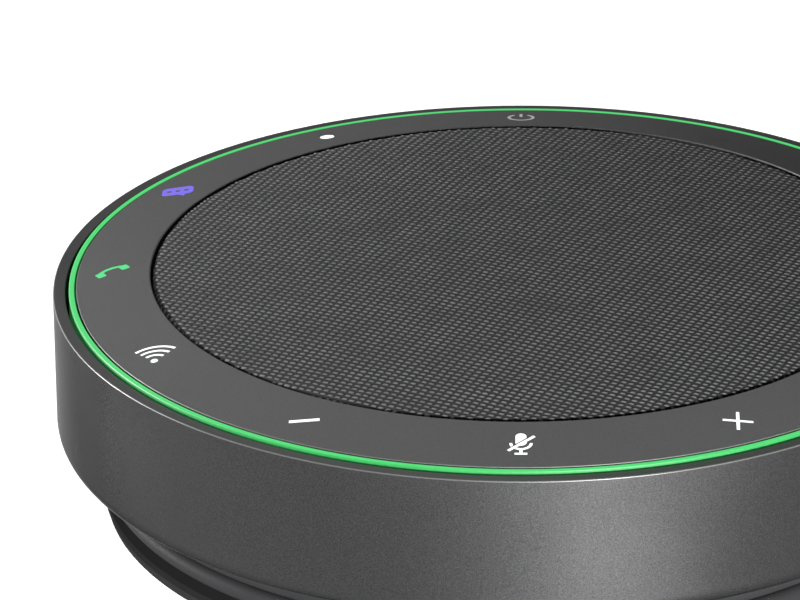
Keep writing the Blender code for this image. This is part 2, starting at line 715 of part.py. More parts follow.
def build_lead(surface):
    """The wound lead, one tube with flat ends."""
    curve = bpy.data.curves.new("usb_cable", "CURVE")
    curve.dimensions = "3D"
    curve.bevel_depth = lead_radius
    curve.bevel_resolution = 2
    curve.use_fill_caps = True
    curve.materials.append(surface)
    spline = curve.splines.new("POLY")
    route = lead_route()
    spline.points.add(len(route) - 1)
    for point, place in zip(spline.points, route):
        point.co = (*place, 1.0)
    lead = bpy.data.objects.new("usb_cable", curve)
    bpy.context.scene.collection.objects.link(lead)


def build_gland(surface):
    """The grommet in the drum's wall and the tapered sleeve that the lead leaves by."""
    half = lead_radius + GLAND_WALL
    block_shape = box((drum_radius - DRUM_WALL - 1.5 * MM, -half, gland_height - half),
                      (wind_radius + lead_radius - 0.15 * MM, half, gland_height + half))
    gland = solid("cable_gland", moved(block_shape, (0, 0, 0), GLAND_ANGLE), surface)
    bend = math.radians(gland_reach + LEAD_STEP) / 2
    reach = GLAND_LENGTH - GAP - lead_radius * math.sin(bend)
    sleeve = turned([(0.0, 0.0), (lead_radius + 0.2 * MM, 0.0), (lead_radius, reach), (0.0, reach)], 12)
    start = around(wind_radius, GLAND_ANGLE, gland_height)
    heading = (around(wind_radius, GLAND_ANGLE + gland_reach, gland_height) - start).normalized()
    aim = heading.to_track_quat("Z", "X").to_matrix().to_4x4()
    bmesh.ops.transform(sleeve, matrix=Matrix.Translation(start) @ aim, verts=sleeve.verts)
    unite(gland, sleeve)


def build_plug(moulding, metal):
    """The plug's moulded grip with its tapered tail, and the metal shell of its tip."""
    grip = centred_box((PLUG_LENGTH, PLUG_WIDTH, PLUG_THICKNESS),
                       ((plug_start + plug_end) / 2, plug_line, plug_middle))
    bmesh.ops.bevel(grip, geom=grip.edges, offset=1.0 * MM, segments=2, affect="EDGES", profile=0.5)
    plug = solid("plug_body", grip, moulding)
    root = lead_radius + 0.5 * MM
    tail = turned([(0.0, -0.5 * MM), (root, -0.5 * MM), (lead_radius + 0.1 * MM, PLUG_RELIEF_LENGTH),
                   (0.0, PLUG_RELIEF_LENGTH)], 12)
    bmesh.ops.transform(tail, matrix=Matrix.Rotation(math.radians(90), 4, "Y"), verts=tail.verts)
    unite(plug, moved(tail, (plug_start, plug_line, plug_middle)))
    middle = Vector((plug_end - GAP - PLUG_TIP_LENGTH / 2, plug_line, plug_middle))
    corner = (PLUG_TIP_WIDTH / 2, PLUG_TIP_THICKNESS / 2)
    opposite = (-PLUG_TIP_WIDTH / 2, -PLUG_TIP_THICKNESS / 2)
    flat = block(opposite, corner, 1.2 * MM, 0.0, 5)
    shell = solid("plug_shell", tip_shape(flat, PLUG_TIP_LENGTH, middle), metal)
    mouth = block(opposite, corner, 1.2 * MM, -PLUG_TIP_WALL, 5)
    cut(shell, tip_shape(mouth, PLUG_TIP_LENGTH, middle - Vector((1.5 * MM, 0, 0))))


def tip_shape(flat, length, middle):
    """A flat outline drawn out along X round a middle point."""
    shape = prism(flat, -length / 2, lambda x, y: length / 2)
    stand = Matrix.Rotation(math.radians(90), 4, "Z") @ Matrix.Rotation(math.radians(90), 4, "X")
    bmesh.ops.transform(shape, matrix=Matrix.Translation(middle) @ stand, verts=shape.verts)
    return shape


# ---------------------------------------------------------------- keys

def face_trim(face):
    """A slab whose underside is the plane that a key's symbol ends at."""
    half = KEY_FLANGE_RADIUS + MM
    slab = bmesh.new()
    corners = ((-half, -half), (half, -half), (half, half), (-half, half))
    lower = [slab.verts.new((x, y, face(x, y))) for x, y in corners]
    upper = [slab.verts.new((x, y, grille_edge + 3 * MM)) for x, y in corners]
    slab.faces.new(lower)
    slab.faces.new(upper)
    for index in range(4):
        after = (index + 1) % 4
        slab.faces.new((lower[index], lower[after], upper[after], upper[index]))
    bmesh.ops.recalc_face_normals(slab, faces=slab.faces)
    return slab


def build_keys(colours):
    """Each key is a light guide: a flange under the ring with the symbol standing up from it."""
    for name, angle, symbol, inlay, marks, colour in KEYS:
        place = key_place(angle)
        face = key_face(place)
        flange = turned(rod_outline(KEY_FLANGE_RADIUS, key_low, key_flange_top), 12)
        key = solid(name, flange, colours[colour])
        for number, flat in enumerate(symbol(0.0)):
            top = grille_edge + (1.0 + 0.02 * number) * MM
            unite(key, prism(flat, key_low + 0.4 * MM, lambda x, y, top=top: top))
        cut(key, face_trim(face))
        if inlay:
            for flat in inlay(0.0):
                unite(key, prism(flat, key_low + 0.3 * MM, key_face(place, INLAY_DEPTH)))
        if marks:
            for flat in marks():
                depth = ring_height(key_circle) - INLAY_DEPTH
                cut(key, prism(flat, depth, lambda x, y: grille_edge + MM))
        key.location = place


# ---------------------------------------------------------------- inside

def build_electronics(colours):
    """The key board and its dome mat, the main board, battery, screening can, ribbon and aerial."""
    board = tube_outline(ring_inner - 2.85 * MM, ring_outer - 0.35 * MM,
                         board_low, board_low + BOARD_THICKNESS)
    solid("key_board", turned(board, INSIDE_STEPS), colours["board"])
    mat = tube_outline(key_circle - 3.7 * MM, key_circle + 2.8 * MM, mat_low, mat_low + MAT_THICKNESS)
    domes = solid("switch_mat", turned(mat, INSIDE_STEPS), colours["silicone"])
    for _, angle, _, _, _, _ in KEYS:
        dome = turned([(0.0, mat_low + 0.2 * MM), (DOME_RADIUS, mat_low + 0.2 * MM),
                       (DOME_RADIUS * 0.55, dome_top), (0.0, dome_top)], 8)
        unite(domes, moved(dome, key_place(angle)))

    main_board = rod_outline(MAIN_BOARD_RADIUS, main_board_low, main_board_low + BOARD_THICKNESS)
    solid("main_board", turned(main_board, INSIDE_STEPS), colours["board"])
    can_low = main_board_low + BOARD_THICKNESS + GAP
    can = centred_box(CAN_SIZE, (0, -20 * MM, can_low + CAN_SIZE[2] / 2))
    solid("shield_can", can, colours["steel"])
    pack = centred_box(BATTERY_SIZE, (0, 0, plate_top + GAP + BATTERY_SIZE[2] / 2))
    bmesh.ops.bevel(pack, geom=pack.edges, offset=1.2 * MM, segments=2, affect="EDGES", profile=0.5)
    solid("battery_pack", pack, colours["battery"])
    ribbon_x = chamber_radius + CHAMBER_LIP + GAP
    ribbon = box((ribbon_x, -RIBBON_WIDTH / 2, can_low),
                 (ribbon_x + RIBBON_THICKNESS, RIBBON_WIDTH / 2, chassis_low - GAP))
    solid("board_ribbon", ribbon, colours["ribbon"])
    aerial = centred_box(AERIAL_SIZE, (0, AERIAL_INSET - wall_inner, floor_top + GAP + AERIAL_SIZE[2] / 2))
    solid("antenna_board", aerial, colours["board"])


def build_microphones(surface):
    """Four microphones in rubber boots under the chassis, between the screws."""
    top = chassis_low - GAP
    low = top - MICROPHONE_HEIGHT
    nose = MICROPHONE_RADIUS - 0.6 * MM
    for number, angle in enumerate(MICROPHONE_ANGLES, start=1):
        boot = turned([(0.0, low), (nose, low), (MICROPHONE_RADIUS, low + 0.7 * MM),
                       (MICROPHONE_RADIUS, top), (0.0, top)], 10)
        made = solid(f"microphone_{number}", boot, surface)
        made.location = around(key_circle - 1.0 * MM, angle)


def build_chassis(surface):
    """The plate that the speaker, keys and grille stand on, with posts down to the floor."""
    hole = SPEAKER_RADIUS - 6.4 * MM
    outer = rim_inner - 0.4 * MM
    collar_outer = ring_inner - 4.0 * MM
    collar_inner = collar_outer - COLLAR_WIDTH
    collar_top = ring_edge - 1.2 * MM
    outline = [(hole, chassis_low), (outer, chassis_low), (outer, chassis_top), (collar_outer, chassis_top),
               (collar_outer, collar_top), (collar_inner, collar_top), (collar_inner, chassis_top),
               (hole, chassis_top)]
    chassis = solid("chassis", turned(outline, INSIDE_STEPS), surface)
    for angle in SCREW_ANGLES:
        place = around(screw_circle, angle)
        post = turned(rod_outline(POST_RADIUS, floor_top + GAP, chassis_low + 0.5 * MM), 10)
        unite(chassis, moved(post, place))
        bore = turned(rod_outline(SCREW_SHANK + HOLE_GAP, floor_top - MM, screw_tip + 0.6 * MM), 8)
        cut(chassis, moved(bore, place))
    for angle in SPEAKER_SCREW_ANGLES:
        bore = turned(rod_outline(SPEAKER_SHANK + GAP, chassis_low - MM, chassis_top + MM), 8)
        cut(chassis, moved(bore, around(speaker_screw_circle, angle)))


def build_chamber(surface):
    """The closed cup behind the speaker."""
    inner = chamber_radius - CHAMBER_WALL
    lip = chamber_radius + CHAMBER_LIP
    lip_low = chamber_top - CHAMBER_FLOOR
    outline = [(0.0, chamber_low), (chamber_radius, chamber_low), (chamber_radius, lip_low),
               (lip, lip_low), (lip, chamber_top), (inner, chamber_top),
               (inner, chamber_low + CHAMBER_FLOOR), (0.0, chamber_low + CHAMBER_FLOOR)]
    solid("speaker_chamber", turned(outline, INSIDE_STEPS), surface)


def build_speaker(colours):
    """The loudspeaker, from its magnet up to its gasket."""
    yoke_low = chamber_low + CHAMBER_FLOOR + 0.4 * MM
    yoke_top = yoke_low + YOKE_THICKNESS
    former_top = speaker_low - 1.1 * MM
    build_motor(colours, yoke_low)
    build_basket(colours["steel"])

    coil_outer = COIL_RADIUS + COIL_WALL / 2
    coil = tube_outline(COIL_RADIUS - COIL_WALL / 2, coil_outer,
                        yoke_top + CONE_TRAVEL + 0.1 * MM, former_top)
    solid("voice_coil", turned(coil, INSIDE_STEPS), colours["copper"])
    spider_low = basket_floor + BASKET_THICKNESS + GAP
    spider = tube_outline(coil_outer + GAP, basket_floor_radius - 1.5 * MM, spider_low, spider_low + 0.3 * MM)
    solid("spider", turned(spider, INSIDE_STEPS), colours["cloth"])
    cone_low = former_top - 0.3 * MM
    cone_high = cone_low + CONE_DEPTH
    cone = [(coil_outer + GAP, cone_low), (cone_radius, cone_high),
            (cone_radius, cone_high + CONE_THICKNESS), (coil_outer + GAP, cone_low + CONE_THICKNESS)]
    solid("speaker_cone", turned(cone, INSIDE_STEPS), colours["paper"])
    cap_edge = former_top + 1.3 * MM
    cap_half = CAP_RADIUS - 4.5 * MM
    cap = [(0.0, cap_edge + CAP_RISE), (cap_half, cap_edge + CAP_RISE - 0.5 * MM), (CAP_RADIUS, cap_edge),
           (CAP_RADIUS, cap_edge - 0.4 * MM), (cap_half, cap_edge + CAP_RISE - 0.9 * MM),
           (0.0, cap_edge + CAP_RISE - 0.4 * MM)]
    solid("dust_cap", turned(cap, INSIDE_STEPS), colours["paper"])
    build_surround(colours, cone_high + CONE_THICKNESS + GAP)


def build_motor(colours, yoke_low):
    """The yoke with its pole, the ring magnet on it and the plate over that."""
    yoke_top = yoke_low + YOKE_THICKNESS
    plate_high = basket_floor - GAP
    top_plate_low = plate_high - TOP_PLATE_THICKNESS
    pole = COIL_RADIUS - COIL_WALL / 2 - COIL_GAP
    bore = COIL_RADIUS + COIL_WALL / 2 + COIL_GAP
    steel_radius = MAGNET_RADIUS - 0.5 * MM
    yoke = [(0.0, yoke_low), (steel_radius, yoke_low), (steel_radius, yoke_top), (pole, yoke_top),
            (pole, plate_high), (0.0, plate_high)]
    solid("yoke", turned(yoke, INSIDE_STEPS), colours["steel"])
    magnet = tube_outline(bore + 1.1 * MM, MAGNET_RADIUS, yoke_top + GAP, top_plate_low - GAP)
    solid("magnet", turned(magnet, INSIDE_STEPS), colours["ferrite"])
    top_plate = tube_outline(bore, steel_radius, top_plate_low, plate_high)
    solid("pole_plate", turned(top_plate, INSIDE_STEPS), colours["steel"])


def build_basket(surface):
    """The pressed frame that carries the speaker."""
    neck = COIL_RADIUS + COIL_WALL / 2 + COIL_GAP + 0.7 * MM
    lip_inner = cone_radius + 4.4 * MM
    lip_top = speaker_low + SPEAKER_LIP
    floor_inside = basket_floor + BASKET_THICKNESS
    outline = [(neck, basket_floor), (basket_floor_radius, basket_floor), (lip_inner + 0.6 * MM, speaker_low),
               (SPEAKER_RADIUS, speaker_low), (SPEAKER_RADIUS, lip_top), (lip_inner, lip_top),
               (basket_floor_radius - 0.4 * MM, floor_inside), (neck, floor_inside)]
    basket = solid("speaker_basket", turned(outline, INSIDE_STEPS), surface)
    for angle in SPEAKER_SCREW_ANGLES:
        hole = turned(rod_outline(SPEAKER_SHANK + GAP, speaker_low - MM, lip_top + MM), 8)
        cut(basket, moved(hole, around(speaker_screw_circle, angle)))


def build_surround(colours, roll_low):
    """The rubber roll between the cone and the frame, and the gasket on its edge."""
    edge_low = speaker_low + SPEAKER_LIP + GAP
    edge_top = edge_low + 0.5 * MM
    lip_edge = speaker_screw_circle - SPEAKER_HEAD - 0.6 * MM
    inner = cone_radius - 1.2 * MM
    crest = cone_radius + 3.3 * MM
    upper = [(inner, roll_low + 0.4 * MM), (cone_radius + 1.0 * MM, roll_low + 0.4 * MM),
             (crest, roll_low + 2.1 * MM), (cone_radius + 5.5 * MM, edge_top), (lip_edge, edge_top)]
    lower = [(lip_edge, edge_low), (cone_radius + 5.0 * MM, edge_low), (crest, roll_low + 1.4 * MM),
             (cone_radius + 1.3 * MM, roll_low), (inner, roll_low)]
    solid("speaker_surround", turned(upper + lower, INSIDE_STEPS), colours["rubber"])
    gasket = tube_outline(cone_radius + 6.2 * MM, lip_edge, edge_top + GAP, edge_top + 1.1 * MM)
    solid("speaker_gasket", turned(gasket, INSIDE_STEPS), colours["foam"])


def build_screws(surface):
    """Four long screws from the plate up into the chassis, and three short ones for the speaker."""
    head_low = plate_middle + 0.05 * MM
    head_top = plate_middle + SCREW_HEAD_HEIGHT
    for number, angle in enumerate(SCREW_ANGLES, start=1):
        outline = [(0.0, head_low), (SCREW_HEAD, head_low), (SCREW_HEAD, head_top), (SCREW_SHANK, head_top),
                   (SCREW_SHANK, screw_tip - 0.5 * MM), (0.0, screw_tip)]
        screw = solid(f"base_screw_{number}", turned(outline, 8), surface)
        screw.location = around(screw_circle, angle)
    tip = chassis_low + GAP
    head_low = speaker_low + SPEAKER_LIP + GAP
    head_top = head_low + SPEAKER_HEAD_HEIGHT
    for number, angle in enumerate(SPEAKER_SCREW_ANGLES, start=1):
        outline = [(0.0, tip), (SPEAKER_SHANK, tip), (SPEAKER_SHANK, head_low), (SPEAKER_HEAD, head_low),
                   (SPEAKER_HEAD, head_top), (0.0, head_top)]
        screw = solid(f"speaker_screw_{number}", turned(outline, 8), surface)
        screw.location = around(speaker_screw_circle, angle)


# ---------------------------------------------------------------- the whole unit

def clear_scene():
    for old in list(bpy.data.objects):
        bpy.data.objects.remove(old)


def build():
    clear_scene()
    grey = finish("grey_shell", (0.105, 0.105, 0.11), 0.42, 0.35)
    ring_grey = finish("grey_ring", (0.13, 0.13, 0.135), 0.5, 0.2)
    black = finish("black_plastic", (0.02, 0.02, 0.021), 0.55)
    rubber = finish("black_rubber", (0.016, 0.016, 0.016), 0.8)
    cloth = finish("grille_cloth", (0.045, 0.047, 0.05), 0.95)
    lit_green = finish("lit_green", (0.08, 0.85, 0.22), 0.4, 0.0, 1.0)
    colours = {
        "white": finish("lit_white", (0.95, 0.97, 1.0), 0.4, 0.0, 1.0),
        "green": finish("lit_key_green", (0.1, 0.8, 0.3), 0.4, 0.0, 1.0),
        "red": finish("lit_red", (0.9, 0.06, 0.05), 0.4, 0.0, 1.0),
        "violet": finish("lit_violet", (0.3, 0.22, 1.0), 0.4, 0.0, 1.0),
        "board": finish("circuit_board", (0.01, 0.12, 0.05), 0.5),
        "silicone": finish("silicone", (0.5, 0.5, 0.5), 0.7),
        "steel": finish("steel", (0.55, 0.55, 0.56), 0.35, 1.0),
        "battery": finish("battery_wrap", (0.02, 0.06, 0.25), 0.45),
        "ribbon": finish("ribbon", (0.5, 0.25, 0.03), 0.5),
        "ferrite": finish("ferrite", (0.03, 0.03, 0.032), 0.6),
        "copper": finish("copper", (0.75, 0.32, 0.14), 0.35, 1.0),
        "cloth": finish("spider_cloth", (0.5, 0.4, 0.2), 0.95),
        "paper": finish("cone_paper", (0.03, 0.03, 0.03), 0.9),
        "foam": finish("foam", (0.03, 0.03, 0.03), 1.0),
        "rubber": rubber,
    }
    build_housing(grey)
    build_light_ring(lit_green)
    build_button_ring(ring_grey)
    build_grille(cloth, black)
    build_base(black, black, rubber, black)
    build_lead(black)
    build_gland(rubber)
    build_plug(black, colours["steel"])
    build_keys(colours)
    build_electronics(colours)
    build_microphones(rubber)
    build_chassis(black)
    build_chamber(black)
    build_speaker(colours)
    build_screws(colours["steel"])
    smooth_all()


build()
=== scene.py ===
"""Looks of a conference speakerphone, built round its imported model.

The round desk unit has a satin shell, a lit band, a sloping ring of lit keys, a woven grille and a
USB lead wound in a groove under the shell.  Each operator makes one piece, or one group of like
pieces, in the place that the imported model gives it.
"""

import math

import bmesh
import bpy
import numpy as np
from bpy.props import FloatProperty, FloatVectorProperty, IntProperty, PointerProperty
from mathutils import Matrix, Vector


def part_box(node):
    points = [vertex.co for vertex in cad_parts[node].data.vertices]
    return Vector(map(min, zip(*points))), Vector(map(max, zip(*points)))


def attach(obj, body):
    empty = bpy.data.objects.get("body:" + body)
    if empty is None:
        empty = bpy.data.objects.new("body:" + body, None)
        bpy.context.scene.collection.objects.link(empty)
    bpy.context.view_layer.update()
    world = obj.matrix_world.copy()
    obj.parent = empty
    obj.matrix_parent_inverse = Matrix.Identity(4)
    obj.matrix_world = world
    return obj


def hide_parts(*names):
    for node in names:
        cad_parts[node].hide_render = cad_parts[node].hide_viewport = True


bl_info = {
    "name": "Conference Speakerphone",
    "version": (1, 0, 0),
    "blender": (4, 5, 0),
    "location": "3D View > Sidebar > Speakerphone",
    "description": "Builds the shell, keys, grille, base, lead and stage of a desk speakerphone",
    "category": "Add Mesh",
}

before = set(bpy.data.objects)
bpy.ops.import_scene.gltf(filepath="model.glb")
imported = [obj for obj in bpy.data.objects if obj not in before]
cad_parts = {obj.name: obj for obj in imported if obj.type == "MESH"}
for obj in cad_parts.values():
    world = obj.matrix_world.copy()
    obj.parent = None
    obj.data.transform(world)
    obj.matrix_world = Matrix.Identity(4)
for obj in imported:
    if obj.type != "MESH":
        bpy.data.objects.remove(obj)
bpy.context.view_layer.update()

MM = 0.001
UNIT = "unit"                     # the body that everything but the keys and the cone rides on


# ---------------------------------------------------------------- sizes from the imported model

def low_of(node):
    """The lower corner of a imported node's box."""
    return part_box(node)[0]


def high_of(node):
    """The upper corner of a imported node's box."""
    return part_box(node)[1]


def heights(node):
    """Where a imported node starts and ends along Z."""
    return low_of(node).z, high_of(node).z


BODY_RADIUS = high_of("outer_housing").x
RIM_TOP = high_of("outer_housing").z
RIM_WIDTH = 1.75 * MM
LIGHT_OUTER = high_of("light_ring").x
LIGHT_WIDTH = 0.8 * MM
RING_OUTER = high_of("button_ring").x
RING_WIDTH = 10.5 * MM
RING_INNER = RING_OUTER - RING_WIDTH
RING_TOP = high_of("button_ring").z
RING_SLOPE = 0.1714
SKIRT_LOW = low_of("button_ring").z
KEY_RADIUS = 3.2 * MM              # of the round foot under each key's symbol
KEY_CIRCLE = -low_of("key_mute").y - KEY_RADIUS
CLOTH_RADIUS = high_of("grille_fabric").x
CLOTH_TOP = high_of("grille_fabric").z
CLOTH_CROWN = 1.4 * MM
BASE_RADIUS = high_of("base_plate").x
FOOT_INNER = high_of("foot_ring").x - 9.0 * MM
DRUM_RADIUS = high_of("cable_drum").x
DRUM_LOW = low_of("cable_drum").z
DRUM_TOP = high_of("cable_drum").z
SHELL_LOW = low_of("outer_housing").z
GAP = 0.3 * MM                    # between the lead and the walls of its groove
LEAD_DIAMETER = 2.7 * MM
GLAND_ANGLE = 137.0               # degrees from +X
LEAD_END = 360 + 360 + 57         # degrees round the turns, where the lead leaves for the plug
LEAD_PIECES = 59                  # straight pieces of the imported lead's turns
PIECE_TURN = math.radians(LEAD_END - GLAND_ANGLE) / LEAD_PIECES
WIND_RADIUS = (DRUM_RADIUS + GAP + LEAD_DIAMETER / 2) / math.cos(PIECE_TURN / 2)


# ---------------------------------------------------------------- settings

LENGTH = {"unit": "LENGTH", "precision": 5}
COLOUR = {"subtype": "COLOR", "min": 0.0, "max": 1.0}


class ShellSettings(bpy.types.PropertyGroup):
    """The satin shell and the sloping key ring."""

    paint: FloatVectorProperty(
        name="Shell paint", description="Colour of the shell's satin paint",
        default=(0.032, 0.032, 0.0322), **COLOUR)
    ring_paint: FloatVectorProperty(
        name="Ring paint", description="Colour of the ring that holds the keys",
        default=(0.0625, 0.0637, 0.0625), **COLOUR)
    edge: FloatProperty(
        name="Rim edge", description="Radius of the rim's crisp outer edge",
        default=0.16 * MM, min=0.02 * MM, max=1.0 * MM, **LENGTH)
    lower_edge: FloatProperty(
        name="Lower edge", description="Radius of the shell's lower outer edge",
        default=1.9 * MM, min=0.1 * MM, max=4.0 * MM, **LENGTH)
    grain: FloatProperty(
        name="Grain", description="Size of the paint's metallic grain",
        default=0.17 * MM, min=0.05 * MM, max=2.0 * MM, **LENGTH)
    steps: IntProperty(
        name="Steps", description="Steps round each turned piece", default=288, min=48, max=720)


class LightSettings(bpy.types.PropertyGroup):
    """The lit band and the lit key symbols."""

    band: FloatVectorProperty(
        name="Band", description="Colour of the lit band",
        default=(0.085, 0.80, 0.20), **COLOUR)
    band_strength: FloatProperty(
        name="Band strength", description="How brightly the band shines", default=0.78, min=0.0)
    symbol_strength: FloatProperty(
        name="Symbol strength", description="How brightly the key symbols shine", default=1.3, min=0.0)


class ClothSettings(bpy.types.PropertyGroup):
    """The woven grille cloth."""

    float_pitch: FloatProperty(
        name="Float pitch", description="Distance between floats along a light thread",
        default=1.127 * MM, min=0.2 * MM, max=5.0 * MM, **LENGTH)
    thread_pitch: FloatProperty(
        name="Thread pitch", description="Distance between light threads",
        default=1.021 * MM, min=0.2 * MM, max=5.0 * MM, **LENGTH)
    direction: FloatProperty(
        name="Direction", description="Direction of the light threads, from the unit's right",
        subtype="ANGLE", default=math.radians(-29.3))
    shift: FloatProperty(
        name="Shift", description="How far each light thread's floats lag behind the last one's",
        default=-0.096 * MM, **LENGTH)
    relief: FloatProperty(
        name="Relief", description="How far the floats stand proud",
        default=0.20 * MM, min=0.0, max=1.0 * MM, **LENGTH)
    light_thread: FloatVectorProperty(
        name="Light thread", description="Colour of the light thread",
        default=(0.125, 0.126, 0.126), **COLOUR)
    dark_thread: FloatVectorProperty(
        name="Dark thread", description="Colour of the dark thread",
        default=(0.007, 0.0072, 0.0075), **COLOUR)


class LeadSettings(bpy.types.PropertyGroup):
    """The wound USB lead."""

    jacket: FloatVectorProperty(
        name="Jacket", description="Colour of the lead's jacket",
        default=(0.011, 0.011, 0.0115), **COLOUR)
    turns_points: IntProperty(
        name="Points", description="Points along the wound lead", default=420, min=60, max=2000)


class StageSettings(bpy.types.PropertyGroup):
    """The floor, the lights and the camera."""

    elevation: FloatProperty(
        name="Elevation", description="How far the camera looks down", subtype="ANGLE",
        default=math.radians(23.6))
    distance: FloatProperty(
        name="Distance", description="From the camera to the rim's middle", unit="LENGTH",
        default=0.8261, min=0.1)
    lens: FloatProperty(
        name="Lens", description="Focal length in millimetres", default=262.3, min=10.0, max=1000.0)
    turn: FloatProperty(
        name="Turn", description="How far the camera is turned to the left of the unit's axis",
        subtype="ANGLE", default=math.radians(1.189))
    dip: FloatProperty(
        name="Dip", description="How far the camera is tipped below the rim's middle",
        subtype="ANGLE", default=math.radians(0.201))
    floor: FloatVectorProperty(
        name="Floor", description="Colour of the floor",
        default=(0.93, 0.93, 0.93), **COLOUR)


def settings(name):
    """One group of the settings kept on the scene."""
    return getattr(bpy.context.scene, "speakerphone_" + name)


# ---------------------------------------------------------------- outlines and meshes

SHARP_ANGLE = 35.0                # degrees; an edge that turns more is shaded sharp


def rounded(corners, steps=6, hold=1.3):
    """A closed outline through (x, y, radius) corners, each rounded by an arc of its radius.

    A point just outside each end of an arc holds the shading of the straight faces flat.
    """
    points = []
    for index, (x, y, radius) in enumerate(corners):
        corner = Vector((x, y))
        if radius <= 0.0:
            points.append(corner)
            continue
        before = (Vector(corners[index - 1][:2]) - corner).normalized()
        after = (Vector(corners[(index + 1) % len(corners)][:2]) - corner).normalized()
        half = before.angle(after) / 2
        reach = radius / math.tan(half)
        middle = corner + (before + after).normalized() * (radius / math.sin(half))
        first = corner + before * reach - middle
        last = corner + after * reach - middle
        sweep = first.angle_signed(last)
        if hold > 1.0:
            points.append(corner + before * reach * hold)
        for step in range(steps + 1):
            points.append(middle + Matrix.Rotation(-sweep * step / steps, 2) @ first)
        if hold > 1.0:
            points.append(corner + after * reach * hold)
    return [tuple(point) for point in points]


def turned(name, outline, steps=None):
    """An object turned round Z from a closed outline of (radius, height) points."""
    steps = steps or settings("shell").steps
    outline = np.array(outline)
    angles = np.arange(steps) * 2 * math.pi / steps
    x = outline[None, :, 0] * np.cos(angles)[:, None]
    y = outline[None, :, 0] * np.sin(angles)[:, None]
    z = np.broadcast_to(outline[None, :, 1], x.shape)
    points = np.stack([x, y, z], axis=-1).reshape(-1, 3)
    count = len(outline)
    faces = []
    for turn in range(steps):
        here = turn * count
        there = (turn + 1) % steps * count
        for index in range(count):
            after = (index + 1) % count
            faces.append((here + index, there + index, there + after, here + after))
    return mesh_object(name, points, faces)


def linked(name, data):
    """An object made of some data, on the scene."""
    made = bpy.data.objects.new(name, data)
    bpy.context.scene.collection.objects.link(made)
    return made


def shade(mesh, sharp=SHARP_ANGLE):
    """Shades a mesh smooth but for edges sharper than an angle in degrees."""
    mesh.shade_smooth()
    mesh.set_sharp_from_angle(angle=math.radians(sharp))


def mesh_object(name, points, faces, sharp=SHARP_ANGLE):
    """An object made of points and faces, its faces turned outwards and shaded smooth."""
    mesh = bpy.data.meshes.new(name)
    mesh.from_pydata(points, [], faces)
    return finish_object(name, mesh, sharp)


def finish_object(name, mesh, sharp=SHARP_ANGLE):
    """Welds, turns outwards and shades a mesh, and links it as an object."""
    shape = bmesh.new()
    shape.from_mesh(mesh)
    bmesh.ops.remove_doubles(shape, verts=shape.verts, dist=1e-7)
    bmesh.ops.recalc_face_normals(shape, faces=shape.faces)
    shape.to_mesh(mesh)
    shape.free()
    shade(mesh, sharp)
    return linked(name, mesh)


def mesh_of(name, shape):
    """A mesh made of a bmesh, which it uses up."""
    mesh = bpy.data.meshes.new(name)
    shape.to_mesh(mesh)
    shape.free()
    return mesh


def shape_object(name, shape):
    """An object made of a bmesh, which it uses up."""
    return finish_object(name, mesh_of(name, shape))


def prism(outline, low, high):
    """An upright prism on a flat outline, as a bmesh."""
    shape = bmesh.new()
    lower = [shape.verts.new((x, y, low)) for x, y in outline]
    upper = [shape.verts.new((x, y, high)) for x, y in outline]
    shape.faces.new(lower)
    shape.faces.new(upper)
    for index in range(len(outline)):
        after = (index + 1) % len(outline)
        shape.faces.new((lower[index], lower[after], upper[after], upper[index]))
    bmesh.ops.recalc_face_normals(shape, faces=shape.faces)
    return shape


def rod(radius, low, high, sides=32):
    """An upright round rod on the Z axis, as a bmesh."""
    return prism(disc((0.0, 0.0), radius, 0.0, sides), low, high)


def box(low, high):
    """A box between two corners, as a bmesh."""
    return prism([(low[0], low[1]), (high[0], low[1]), (high[0], high[1]), (low[0], high[1])],
                 low[2], high[2])


def moved(shape, place, turn=0.0):
    """A bmesh turned about Z by an angle in degrees and moved to a place."""
    matrix = Matrix.Translation(place) @ Matrix.Rotation(math.radians(turn), 4, "Z")
    bmesh.ops.transform(shape, matrix=matrix, verts=shape.verts)
    return shape


def joined(shapes):
    """Several bmeshes in one, which may overlap."""
    whole = bmesh.new()
    for shape in shapes:
        mesh = mesh_of("joined", shape)
        whole.from_mesh(mesh)
        bpy.data.meshes.remove(mesh)
    return whole


def fused(outlines, low, high):
    """Upright prisms on several flat outlines, united into one bmesh.

    Each prism is a little taller than the last, so that no two ends lie in one plane.
    """
    whole = shape_object("fused", prism(outlines[0], low, high))
    for number, outline in enumerate(outlines[1:], start=1):
        taller = 0.01 * MM * number
        combine(whole, prism(outline, low - taller, high + taller), "UNION")
    shape = bmesh.new()
    shape.from_mesh(whole.data)
    bpy.data.objects.remove(whole)
    return shape


def combine(target, shape, operation):
    """Unites the target with a bmesh, or cuts the bmesh out of it."""
    tool = linked("tool", mesh_of("tool", shape))
    step = target.modifiers.new("combine", "BOOLEAN")
    step.operation = operation
    step.solver = "EXACT"
    step.object = tool
    bpy.context.view_layer.update()
    result = target.evaluated_get(bpy.context.evaluated_depsgraph_get())
    made = bpy.data.meshes.new_from_object(result)
    before = target.data
    target.modifiers.clear()
    target.data = made
    made.name = target.name
    bpy.data.meshes.remove(before)
    bpy.data.objects.remove(tool)
    shade(made)


def around(radius, angle, height=0.0):
    """A point on a circle round Z; the angle is in degrees from +X."""
    turn = math.radians(angle)
    return Vector((radius * math.cos(turn), radius * math.sin(turn), height))


def wear(piece, material):
    """Gives a piece its one finish."""
    piece.data.materials.clear()
    piece.data.materials.append(material)


def fit(piece, body, slot, material, *nodes):
    """Rides a piece on a body in place of some nodes, with its finish. The slot is not used."""
    wear(piece, material)
    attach(piece, body)
    if nodes:
        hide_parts(*nodes)


# ---------------------------------------------------------------- finishes

MOST_NOISE = (0.3, 0.7)           # most of a noise lies between these


